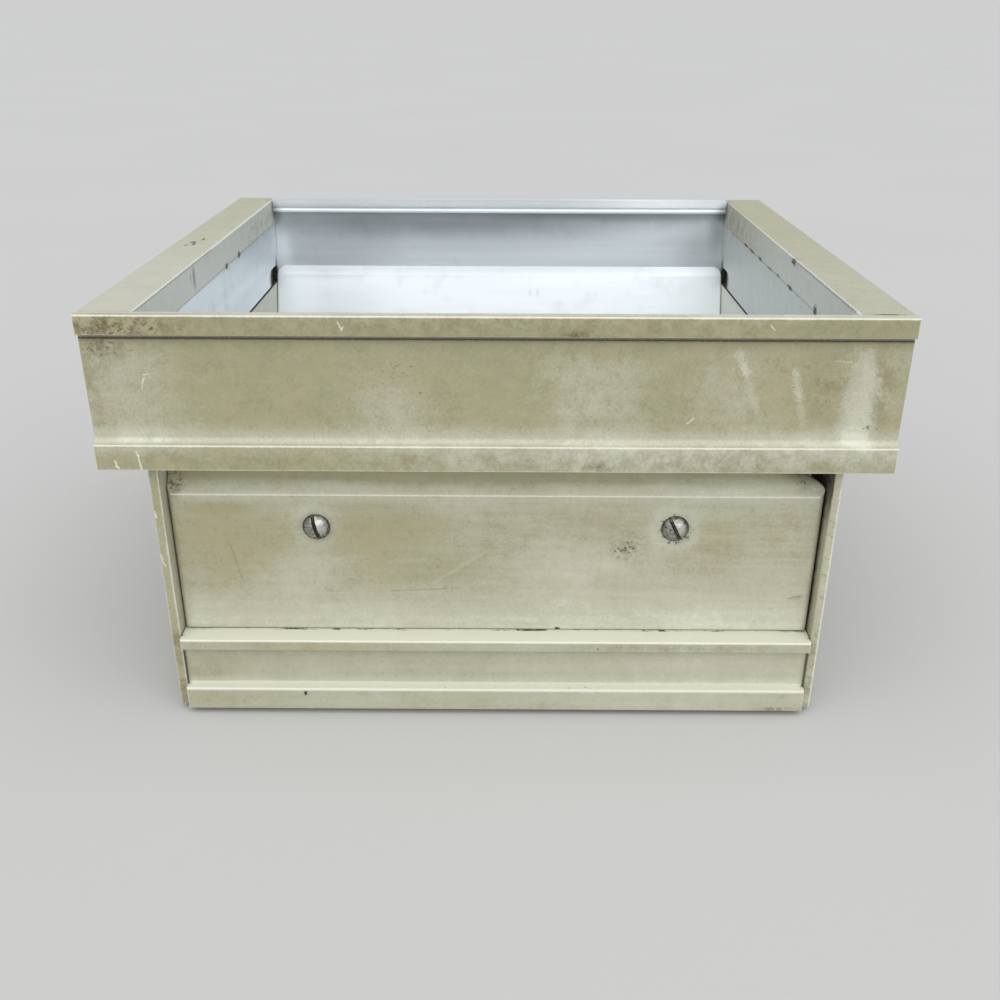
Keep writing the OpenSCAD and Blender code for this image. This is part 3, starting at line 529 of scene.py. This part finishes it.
def side_rail_paint(name, side):
    inner = side * side_low.x
    outer = side * side_high.x
    left, right = -side_low.x, side_low.x  # for marks on one rail only
    paint_line = side_high.z - PAINT_DOWN

    def wall(look):
        return look.step(look.math("MULTIPLY", look.x, side), side_low.x + 0.8, side_low.x + 0.5)

    def inside(look):
        """Bare metal on the inner wall, below the ragged line where the paint ends."""
        ragged = look.sway(look.noise(2.2, 5, 0.7, seed=12), 2.4)
        below = look.step(look.math("ADD", look.z, ragged), paint_line + 0.2, paint_line - 0.2)
        return look.math("MULTIPLY", wall(look), look.math("MULTIPLY", below, 0.72 - 0.28 * side))

    def overspray(look):
        # A thin grey over the rail's top paints the sky's glancing reflection; on the inner wall the grey
        # is overspray
        top = look.step(look.z, side_high.z - 0.4, side_high.z - 0.1)
        haze = look.math("MULTIPLY", top, 0.24 - 0.02 * side)
        above = look.step(look.z, paint_line - 1, paint_line + 1)
        clear = look.math("MULTIPLY", look.step(look.y, -20, 95), above)
        share = look.math("MULTIPLY_ADD", clear, -0.25 * (1 + side), 0.85)
        return look.math("MULTIPLY_ADD", wall(look), share, haze, clamp=True)

    def hollow(look):
        """The rail's unpainted inside, coloured near-black as painted shade."""
        across = look.math("MULTIPLY", look.x, side)
        between = look.math("MULTIPLY", look.step(across, side_low.x + 0.8, side_low.x + 1.2),
                            look.step(across, side_high.x - 0.8, side_high.x - 1.2))
        below = look.step(look.z, side_high.z - 0.8, side_high.z - 1.2)
        return look.math("MULTIPLY", between, look.math("MULTIPLY", below, 0.9))
    return aged_paint(
        name, 0.54 + 0.15 * side, 0.0, 0.35, hollow=hollow,
        edges=[((outer, ANY, side_high.z), 0.4), ((outer, ANY, side_low.z), 0.5)],
        patches=[((outer, 0, 110), (6, 60, 20), 0.3), ((side * 112, 60, side_high.z), (12, 60, 3), 0.15)],
        bands=[((side * 112, 100, side_high.z), (14, 90, 4), 0.38 - 0.04 * side)],
        dull=[((right, ANY, 112), (2, 1, 40), 0.6)],
        brown=[((inner, 75, 131), (2, 36, 6), 0.4 + 0.05 * side)],
        # Dark marks: a small soot spot on the left rail, darker rear corners, and painted shade at the
        # notch's edges and along the inner wall's lower edge
        soot=[((inner, 98, 134), (3, 4, 4), 0.5), ((left, -37, 133), (2, 1.6, 3.4), 0.6),
              ((inner, NOTCH_REAR, 105.5), (3.5, 2.2, 6), 0.95),
              ((inner, ANY, WALL_LOW), (2.5, 1, 0.25), 0.8),
              ((inner, NOTCH_REAR - 15, 104), (2, 2, 4), 0.6)],
        chips=[((-113.4, 0, side_high.z), (1.0, 1.3, 2)), ((-112.2, -3.5, side_high.z), (0.5, 2.0, 2)),
               ((-111.0, 5.5, side_high.z), (0.5, 1.6, 2)), ((-114.6, -5.5, side_high.z), (0.5, 1.0, 2)),
               ((right, -57, 127.3), (2, 1.7, 1.8)), ((right, -25, 136.6), (2, 3.0, 1.0)),
               ((right, -24, 127.2), (2, 3.2, 0.7)), ((right, 24, 127.4), (2, 3.0, 0.6)),
               ((right, 51, 127.4), (2, 4.0, 0.5)), ((right, 40, 127.4), (2, 5, 0.45)),
               ((right, -6, 127.6), (2, 2.4, 0.3)), ((right, 8, 127.2), (2, 3.4, 0.3)),
               ((left, 27.5, 127.4), (2, 2.2, 1.0)), ((left, 7, 127.3), (2, 2.0, 1.0)),
               ((112, -100.2, side_high.z), (4, 0.4, 1))],
        specks=[((inner, ANY, paint_line), (2, 1, 1.0), 0.6),
                ((side * 108, ANY, side_high.z), (8, 1, 2), 0.1)],
        cuts=[((left, -41, 135), (left, -40.5, 132), 0.6, 0.5),
              ((left, -102, 137.3), (left, -12, 137.3), 0.4, 0.45),
              ((right, -96, 137.4), (right, -30, 137.4), 0.55, 0.55),
              ((right, -30, 137.5), (right, 95, 137.5), 0.4, 0.35),
              ((inner, -104, paint_line), (inner, 96, paint_line), 0.35, 0.45)],
        grey=overspray, bare=inside)


def plate_paint(name, side):
    inner = side * plate_low.x
    outer = side * plate_high.x
    left, right = -plate_low.x, plate_low.x  # for marks on one plate only

    def face(look):
        return look.step(look.math("MULTIPLY", look.x, side), plate_low.x + 0.6, plate_low.x + 0.3)

    def inside(look):
        """Bare metal on the inner face, behind the painted front strip and below the top strip."""
        ragged = look.sway(look.noise(4, 4, seed=13), 6.0)
        deep = look.step(look.math("ADD", look.y, ragged), plate_low.y + 11, plate_low.y + 12)
        low = look.step(look.math("ADD", look.z, ragged), plate_high.z - 16, plate_high.z - 17)
        return look.math("MULTIPLY", face(look), look.math("MULTIPLY", deep, low))

    def overspray(look):
        top = look.step(look.z, plate_high.z - 20, plate_high.z - 14)
        deep = look.step(look.y, plate_low.y + 10, plate_low.y + 20)
        share = look.math("MULTIPLY", deep, look.math("MULTIPLY", top, 0.45))
        return look.math("MULTIPLY", face(look), share)
    slants = [((106.2, plate_low.y, z), (104.2, plate_low.y, z + 1.2), 0.25, 0.35)
              for z in (44, 52, 58, 66, 71)]
    beside = panel_y + 4  # depth of the painted shade between the plate and the drawer front
    return aged_paint(
        name, 0.58 - 0.2 * side, 0.3,
        edges=[((left, plate_low.y, ANY), 0.36), ((outer, plate_low.y, ANY), 0.6 + 0.2 * side)],
        # Patches: the inner faces are lifted paler, painted light against their shade; the right front
        # strip is darker, painted shade
        patches=[((inner, plate_low.y, ANY), (0.5, 12, 1), -0.2 + 0.4 * side),
                 ((inner, 60, 95), (0.5, 80, 14), -0.7 - 0.2 * side)],
        brown=[((side * 105, plate_low.y, 12), (3, 1, 14), 0.4),
               ((side * 105, plate_low.y, 27), (3, 1, 4), 0.4)],
        # Painted shade: in the gap beside the drawer front, on the right inner face under the rim, and
        # along the upper edge under the side rail
        soot=[((left, beside, 50), (0.5, 1.6, 70), 0.4), ((right, beside, 50), (0.5, 4.0, 70), 0.95),
              ((right, plate_low.y + 15, 85), (0.35, 26, 12), 0.95),
              ((ANY, ANY, plate_high.z), (1, 1, 0.25), 0.9)],
        specks=[((side * 105, plate_low.y, 50), (3, 1, 45), 0.3)],
        scratches=[((-106.4, plate_low.y, 74), (-106.0, plate_low.y, 72), 0.45, 0.9),
                   ((-106.4, plate_low.y, 58.6), (-105.9, plate_low.y, 57.2), 0.4, 0.9),
                   ((-106.0, plate_low.y, 56.6), (-105.2, plate_low.y, 54.6), 0.3, 0.8)],
        cuts=slants, grey=overspray, bare=inside)


def base_rail_paint():
    corners = [((x, band_y, ANY), 0.5) for x in (base_low.x, base_high.x)]
    return aged_paint(
        "base_rail_paint", 0.40, 0.4, 0.6,
        edges=x_lines([(base_low.y, base_high.z), (base_low.y, base_flange_top)], 0.55)
        + x_lines([(base_low.y, base_low.z)], 0.35)
        + [((x, base_low.y, ANY), 0.4) for x in (base_low.x, base_high.x)],
        # Dark lines of painted shade and dirt under the ledge and at the band's ends
        grime=x_lines([(band_y, ledge_bottom)], 0.3) + corners,
        patches=[((-97, ANY, 17), (10, 1, 5), 0.15), ((-85, base_low.y, 7), (22, 2, 5), 0.1),
                 ((-60, base_low.y, 27), (30, 2, 3), 0.25), ((60, base_low.y, 6), (45, 2, 4), -0.2)],
        # Bands: the ledge's and flange's tops are paler, clean paint and partly a painted highlight on
        # faces turned up; paler at the band's foot
        bands=[((ANY, ANY, base_high.z), (1, 1, 0.5), -1.6),
               ((ANY, ANY, base_flange_top), (1, 1, 0.7), -1.6),
               ((ANY, band_y, base_flange_top), (1, 1.5, 2.5), -0.4),
               ((70, band_y, 18), (60, 1, 7), -0.25)],
        brown=[((95, base_low.y, 2.8), (6, 1, 0.9), 0.9), ((60, base_low.y, 26.6), (30, 1, 1.4), 0.3),
               ((-98, band_y, 15), (5, 1, 3), 0.2)],
        specks=[((40, ANY, 18), (60, 1, 8), 0.25), ((20, base_low.y, 27), (90, 1, 2), 0.3),
                ((0, base_low.y, base_flange_top), (110, 2, 0.8), 0.5)],
        chips=[((-63.4, base_low.y, 8.4), (0.6, 1, 0.7)), ((-90.5, base_low.y, 11), (0.6, 2, 0.4))])


def drawer_front_paint():
    return aged_paint(
        "drawer_front_paint", 0.55, 0.65, 0.7,
        # A pale line along the fold is a painted highlight; dark lines of painted shade and dirt run along
        # the bottom and end gaps
        edges=x_lines([(panel_y + 0.1, fold_z + 0.3)], 0.28),
        grime=x_lines([(panel_y, panel_low.z)], 0.2)
        + [((x, panel_y, ANY), 0.2) for x in (panel_low.x, panel_high.x)],
        patches=[((-84, ANY, 62), (20, 1, 12), 0.28), ((-38, ANY, 66), (18, 1, 8), 0.35),
                 ((-24, ANY, 52), (16, 1, 6), 0.2), ((33, ANY, 67), (14, 1, 7), 0.2),
                 ((68, ANY, 58), (13, 1, 11), 0.18), ((94, ANY, 63), (8, 1, 11), 0.12),
                 ((-88, ANY, 73), (9, 1, 1.6), 0.4), ((20, ANY, 52), (18, 1, 10), -0.25),
                 ((-64, ANY, 52), (12, 1, 9), -0.25)]
        + [((x, ANY, screw_z), (6.0, 1, 6.0), -0.7) for x in screw_xs],
        # Bands: painted shade darkens the lip towards its top under the rim and in its middle; painted
        # highlights lift it near the fold and at its right; the panel is paler near its bottom and lower
        # right
        bands=[((ANY, ANY, panel_low.z), (1, 1, 10), -0.6), ((ANY, ANY, fold_z + 0.8), (1, 1, 2.4), -0.3),
               ((ANY, ANY, panel_high.z), (1, 1, 2.8), 0.85), ((ANY, ANY, fold_z - 4), (1, 1, 3), -0.1),
               ((80, ANY, 45), (60, 1, 22), -0.25), ((80, ANY, 82), (30, 1, 5), -0.3),
               ((0, ANY, 82), (50, 1, 4), 0.2)],
        tan=[((-84, ANY, 62), (20, 1, 12), 0.45), ((-38, ANY, 66), (20, 1, 9), 0.4),
             ((68, ANY, 58), (15, 1, 12), 0.7), ((94, ANY, 63), (7, 1, 11), 0.9),
             ((30, ANY, 66), (20, 1, 8), 0.3)],
        brown=[((42, ANY, 60), (5.5, 1, 4.5), 0.55), ((98, ANY, 42), (3, 1, 1.2), 0.4),
               ((-101, ANY, panel_high.z - 4), (3, 9, 4), 0.6),
               ((99, ANY, panel_high.z - 3), (5, 6, 4), 0.4)],
        # Dark rings round the screw heads, dirt and painted contact shadow, and painted shade in the lip's
        # right corner under the rim
        soot=[((x, ANY, screw_z), (HEAD_R + 0.35, 1, HEAD_R + 0.35), 0.5) for x in screw_xs]
        + [((99, ANY, panel_high.z + 1), (9, 9, 3.4), 0.7)],
        specks=[((57, ANY, screw_z), (5.2, 1, 5.2), 1.1), ((-57, ANY, screw_z), (5.0, 1, 5.0), 0.6),
                ((41.5, ANY, 59.5), (4.5, 1, 3.6), 0.8), ((ANY, ANY, panel_low.z), (1, 1, 1.0), 0.5),
                ((60, ANY, 55), (40, 1, 16), 0.2), ((-101, ANY, panel_high.z - 4), (3, 9, 4), 1.0),
                ((99, ANY, panel_high.z - 2), (6, 9, 4), 0.8)],
        scratches=[((-20.4, panel_y, 46.6), (-3.4, panel_y, 58), 0.9, 0.13)],
        cuts=[((-85, panel_y, 60), (-82.5, panel_y, 48), 0.4, 0.3),
              ((-34, panel_y, 43.6), (-12, panel_y, 44.8), 0.4, 0.25),
              ((96, panel_y, 41.4), (100, panel_y, 42.6), 0.35, 0.5)],
        chips=[((20.5, panel_y, panel_low.z + 0.3), (0.8, 2, 0.6))])


def worn_steel():
    look = Look("worn_steel")
    cloud = look.noise(1.4, 5, 0.6, seed=21)
    colour = look.mix(look.step(cloud, 0.42, 0.7), STEEL, DARK_STEEL)
    look.bump(cloud, depth=0.02)
    return look.finish(colour, look.math("MULTIPLY_ADD", cloud, 0.25, 0.28), 1.0)


def packed_slot(look, colour, x, lean, grit, share):
    """The colour with painted shade in the slot of the screw at x, and dirt packed along its middle."""
    from_middle = look.vector("SUBTRACT", look.point, (x, 0, screw_z))
    across = look.vector("DOT_PRODUCT", from_middle, (math.cos(lean), 0, math.sin(lean)))
    across = look.math("ABSOLUTE", across)
    near = look.step(look.line((x, ANY, screw_z)), 6, 5)
    inside = look.math("MULTIPLY", look.step(across, 0.66, 0.52), near)
    packed = look.math("MULTIPLY", look.step(across, 0.3, 0.1), look.step(grit, 0.42, 0.6))
    return look.cover(colour, look.cover(SOOT, DARK_STEEL, packed, 0.7), inside, share)


def slotted_steel():
    """Worn steel with a painted highlight beside the slots, painted shade and dirt in the slots, and dirt
    round the heads' rims.
    """
    look = Look("slotted_steel")
    cloud = look.noise(1.1, 5, 0.68, seed=21)
    grit = look.noise(0.4, 3, 0.6, seed=26)
    ragged = look.sway(grit, 2.4)
    colour = look.mix(look.step(cloud, 0.40, 0.66), STEEL, DARK_STEEL)
    # A lighter, smoother patch right of each slot paints the highlight of a lamp on the domed head
    rubbed = look.total([look.spot((x + 1.5, ANY, screw_z + 0.4), (1.4, 1, 1.9), ragged, 0.6)
                         for x in screw_xs])
    colour = look.cover(colour, BRIGHT_STEEL, rubbed, 0.55)
    away = look.nearest([look.line((x, ANY, screw_z)) for x in screw_xs])
    rim = look.step(look.math("ADD", away, look.sway(cloud, 1.6)), HEAD_R - 1.3, HEAD_R)
    colour = look.cover(colour, look.mix(look.step(grit, 0.4, 0.6), SOOT, BROWN), rim, 0.8)
    short = look.step(look.math("ADD", away, look.sway(grit, 1.6)), HEAD_R - 0.1, HEAD_R - 0.9)
    share = look.math("MULTIPLY_ADD", short, 0.6, 0.3)
    for x, tilt in zip(screw_xs, SLOT_TILTS):
        colour = packed_slot(look, colour, x, math.radians(tilt), grit, share)
    look.bump(grit, depth=0.03)
    roughness = look.math("MULTIPLY_ADD", rubbed, -0.08, look.math("MULTIPLY_ADD", cloud, 0.35, 0.22))
    return look.finish(colour, roughness, 1.0)


def nylon():
    look = Look("nylon")
    dirt = look.step(look.noise(8, 5, 0.6, seed=22), 0.45, 0.75)
    look.bump(look.noise(0.6, 2, seed=23), depth=0.01)
    return look.finish(look.mix(dirt, NYLON, NYLON_DIRT), look.math("MULTIPLY_ADD", dirt, 0.2, 0.38))


def black_rubber():
    look = Look("black_rubber")
    dust = look.step(look.noise(3, 5, 0.65, seed=24), 0.5, 0.8)
    look.bump(look.noise(0.5, 3, seed=25), depth=0.04)
    return look.finish(look.mix(dust, RUBBER, RUBBER_DUST), look.math("MULTIPLY_ADD", dust, 0.2, 0.6))


def dress(materials):
    """Puts a material on each named CAD node."""
    for node, material in materials.items():
        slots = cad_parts[node].data.materials
        slots.clear()
        slots.append(material)


along_x = bare_aluminium("aluminium_along_x", ROLLED_X)
along_y = bare_aluminium("aluminium_along_y", ROLLED_Y)
# The drawer's sides and inner front are darker near the top corners behind the lip: painted shade
side_metal = bare_aluminium(
    "drawer_side_aluminium", ROLLED_Y,
    dark=[((x, panel_y + 6, fold_z + 6), (5, 9, 9), 0.9) for x in (panel_low.x, panel_high.x)])
inner_front_metal = bare_aluminium(
    "inner_front_aluminium", ROLLED_X,
    dark=[((x, ANY, fold_z + 6), (10, 9, 10), 0.92) for x in (panel_low.x, panel_high.x)])
floor_low, floor_high = box_mm("drawer_floor")
floor_metal = bare_aluminium(
    "drawer_floor_aluminium", ROLLED_X,
    dull=[((0, 0, ANY), (150, 130, 1), 0.55), ((30, -30, ANY), (40, 25, 1), 0.3),
          ((-50, 20, ANY), (30, 35, 1), 0.3)],
    dark=[((x, ANY, ANY), (5, 1, 1), 0.3) for x in (floor_low.x, floor_high.x)]
    + [((ANY, y, ANY), (1, 6, 1), 0.3) for y in (floor_low.y, floor_high.y)])
# Rear rail: glare patches paint highlights and reflections on the lip, bead and wall; dark patches paint
# the shadow under the bead and shade at the ends; dull patches darken the wall, oxide and partly painted
# shade of a darker reflection
rear_metal = bare_aluminium(
    "rear_rail_aluminium", ROLLED_X,
    dull=[((-72, ANY, 120), (22, 1, 15), 0.5), ((-15, ANY, 122), (45, 1, 9), 0.35),
          ((92, ANY, 114), (8, 1, 9), 0.3)],
    chalk=[((72, ANY, 136.5), (36, 6, 2), 0.9), ((-101, ANY, 114), (4, 6, 9), 0.7),
           ((72, ANY, 124), (24, 6, 5), 0.3), ((20, ANY, 113), (85, 6, 7), 0.25),
           ((ANY, REAR_WALL_Y - 1.2, 133), (1, 0.8, 1.0), 0.9), ((-20, ANY, 136.8), (110, 6, 1.5), 0.35)],
    dark=[((x, ANY, 132), (3, 6, 4), 0.5) for x in (rear_low.x, rear_high.x)]
    + [((-25, REAR_WALL_Y, 131.3), (100, 0.4, 8.0), 0.5), ((60, REAR_WALL_Y, 131.8), (60, 0.4, 2.6), 0.35),
       ((101, ANY, 124), (4, 6, 9), 0.3)])
# Drawer back: glare patches at both ends paint brighter reflections; the dull band along the top paints
# shade on the bent lip; it is also duller at its foot and darker along its side edges
back_metal = bare_aluminium(
    "drawer_back_aluminium", ROLLED_X, 0.35,
    dull=[((ANY, ANY, back_high.z), (1, 1, 3.2), 0.5), ((-85, ANY, back_high.z - 2), (18, 5, 3), 0.4),
          ((ANY, ANY, back_low.z), (1, 1, 5), 0.6),
          ((-20, ANY, 92), (110, 30, 30), 0.35), ((-72, ANY, 92), (18, 20, 9), 0.2)],
    chalk=[((-100, ANY, 92), (12, 30, 20), 0.6), ((98, ANY, 92), (24, 30, 20), 0.7)],
    dark=[((x, ANY, ANY), (0.5, 1, 1), 0.3) for x in (back_low.x, back_high.x)]
    + [((x, ANY, 97), (0.6, 9, 1.6), 0.12) for x in (14.5, 18)])
steel = worn_steel()
dress({
    "front_rail": front_rail_paint(),
    "left_side_rail": side_rail_paint("left_side_rail_paint", -1),
    "right_side_rail": side_rail_paint("right_side_rail_paint", 1),
    "left_side_plate": plate_paint("left_plate_paint", -1),
    "right_side_plate": plate_paint("right_plate_paint", 1),
    "base_front_rail": base_rail_paint(),
    "drawer_front": drawer_front_paint(),
    "rear_rail": rear_metal,
    "drawer_back": back_metal,
    "drawer_inner_front": inner_front_metal,
    "drawer_floor": floor_metal,
    "drawer_glides": nylon(),
    "feet": black_rubber(),
})
dress({node: along_x for node in (
    "base_back_panel", "base_bottom_panel", "stop_bar", "left_corner_cleat",
    "right_corner_cleat", "base_rail_cleats")})
dress({node: along_y for node in ("left_runner", "right_runner")})
dress({node: side_metal for node in ("drawer_left_side", "drawer_right_side")})
dress({node: steel for node in (
    "rear_rail_rivets", "cleat_screws", "plate_screws", "base_rivets", "runner_rivets", "front_washers",
    "front_nuts")})
dress({"front_screws": slotted_steel()})


def smooth_chain(rng, count, low, high):
    """A row of values that wander between two limits."""
    values = [rng.uniform(low, high) for _ in range(count + 5)]
    return [sum(values[i:i + 5]) / 5 for i in range(count + 1)]


def dirt_look(name, clean, dirty):
    """Crumbly brown and black dirt, with pale stretches: clean to dirty are the noise's limits for them."""
    look = Look(name)
    shade = look.step(look.noise(4, 5, 0.7, stretch=(0.35, 1, 1), seed=27), clean, dirty)
    crumbs = look.step(look.noise(1.2, 4, 0.7, seed=28), 0.40, 0.68)
    look.bump(crumbs, depth=0.05)
    colour = look.mix(shade, CLEAN, look.mix(crumbs, BROWN, SOOT))
    return look.finish(colour, look.math("MULTIPLY_ADD", shade, 0.2, 0.6))


def dirt_strip(name, rows, material):
    """A crust that joins rows of points, in millimetres, and rides the cabinet."""
    count = len(rows[0])
    verts = [tuple(c * MM for c in point) for row in rows for point in row]
    faces = []
    for i in range(len(rows) - 1):
        for j in range(count - 1):
            at = i * count + j
            faces.append((at, at + count, at + count + 1, at + 1))
    faces.append(tuple(range(count)))
    faces.append(tuple(range(len(verts) - 1, len(verts) - 1 - count, -1)))
    mesh = bpy.data.meshes.new(name)
    mesh.from_pydata(verts, [], faces)
    for face in mesh.polygons:
        face.use_smooth = True
    mesh.materials.append(material)
    piece = bpy.data.objects.new(name, mesh)
    bpy.context.scene.collection.objects.link(piece)
    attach(piece, "cabinet")


def seam_dirt():
    """Old dirt and wax on the ledge under the drawer front's edge, worn low where the glides pass."""
    rng = random.Random(7)
    glide_low, glide_high = box_mm("drawer_glides")
    glide_inner = glide_high.x - GLIDE_W - SEAM_ROOM
    half = panel_high.x - SEAM_ROOM
    tall = smooth_chain(rng, SEAM_STEPS, 0.75, 1.0)
    wide = smooth_chain(rng, SEAM_STEPS, 0.2, 0.8)
    rows = []
    for i in range(SEAM_STEPS + 1):
        x = -half + 2 * half * i / SEAM_STEPS
        above = panel_low.z if abs(x) < glide_inner else glide_low.z - GLIDE_ROOM
        height = tall[i] * (above - base_high.z)
        rows.append([(x, panel_y + across * (wide[i] if across < 0 else 1.0), base_high.z + up * height)
                     for across, up in SEAM_SECTION])
    dirt_strip("seam_dirt", rows, dirt_look("seam_dirt", 0.50, 0.60))


def notch_dirt():
    """Dark lumps of dust in each side rail, on the plate's upper edge behind the notch, standing in for the
    shade inside the rail.
    """
    rng = random.Random(11)
    start, end = NOTCH_REAR - DUST_AHEAD, side_high.y - DUST_ROOM
    low = plate_high.z + DUST_LIFT
    wall = side_low.x + WALL_T
    far = plate_high.x
    material = dirt_look("notch_dirt", 0.0, 0.1)
    for name, side in (("left_notch_dirt", -1), ("right_notch_dirt", 1)):
        near = smooth_chain(rng, DUST_STEPS, wall + 0.05, wall + 0.6)
        tops = smooth_chain(rng, DUST_STEPS, NOTCH_TOP - 1.5, NOTCH_TOP + 2.5)
        rows = []
        for i in range(DUST_STEPS + 1):
            y = start + (end - start) * i / DUST_STEPS
            half_up = (low + tops[i]) / 2
            section = ((near[i], low), (near[i], half_up), (near[i] + 0.2, tops[i] - 0.5),
                       ((near[i] + far) / 2, tops[i]), (far - 0.2, tops[i] - 0.5),
                       (far, half_up), (far, low))
            rows.append([(side * x, y, z) for x, z in section])
        dirt_strip(name, rows, material)


def stage_floor():
    corners = [(x * FLOOR_HALF, y * FLOOR_HALF, 0) for x, y in ((-1, -1), (1, -1), (1, 1), (-1, 1))]
    mesh = bpy.data.meshes.new("floor")
    mesh.from_pydata(corners, [], [(0, 1, 2, 3)])
    floor = bpy.data.objects.new("floor", mesh)
    bpy.context.scene.collection.objects.link(floor)
    look = Look("floor")
    look.finish(look.mix(look.noise(400, 3, seed=31), FLOOR, FLOOR_SHADE), 0.9)
    mesh.materials.append(look.material)


def soft_light():
    """An even pale sky and two broad lamps in front: a high one and a low one."""
    world = bpy.data.worlds.new("sky")
    bpy.context.scene.world = world
    world.use_nodes = True
    nodes, links = world.node_tree.nodes, world.node_tree.links
    sky = nodes["Background"]
    sky.inputs["Color"].default_value = SKY
    sky.inputs["Strength"].default_value = SKY_STRENGTH
    seen = nodes.new("ShaderNodeBackground")
    seen.inputs["Color"].default_value = FLOOR_SEEN
    blend = nodes.new("ShaderNodeMixShader")
    links.new(nodes.new("ShaderNodeLightPath").outputs["Is Camera Ray"], blend.inputs["Fac"])
    links.new(sky.outputs[0], blend.inputs[1])
    links.new(seen.outputs[0], blend.inputs[2])
    links.new(blend.outputs[0], nodes["World Output"].inputs["Surface"])
    for name, strength, spread, tilt, turn in LAMPS:
        lamp = bpy.data.lights.new(name, "SUN")
        lamp.energy = strength
        lamp.angle = math.radians(spread)
        sun = bpy.data.objects.new(name, lamp)
        sun.rotation_euler = (math.radians(tilt), 0, math.radians(turn))
        bpy.context.scene.collection.objects.link(sun)


def photo_camera():
    """The camera's place, lens and turn, solved from the photograph's edges."""
    place = Vector(CAMERA_AT) * MM
    down, turn, roll = CAMERA_DOWN, CAMERA_TURN, CAMERA_ROLL
    ahead = Vector((math.sin(turn) * math.cos(down), math.cos(turn) * math.cos(down), -math.sin(down)))
    level = Vector((math.cos(turn), -math.sin(turn), 0))
    above = level.cross(ahead)
    right = level * math.cos(roll) + above * math.sin(roll)
    up = above * math.cos(roll) - level * math.sin(roll)
    data = bpy.data.cameras.new("camera")
    data.sensor_width = SENSOR_W
    data.lens = LENS
    data.clip_start = 0.01
    camera = bpy.data.objects.new("camera", data)
    camera.matrix_world = Matrix.Translation(place) @ Matrix((right, up, -ahead)).transposed().to_4x4()
    bpy.context.scene.collection.objects.link(camera)
    bpy.context.scene.camera = camera


seam_dirt()
notch_dirt()
stage_floor()
soft_light()
photo_camera()
bpy.context.scene.view_settings.view_transform = "Standard"
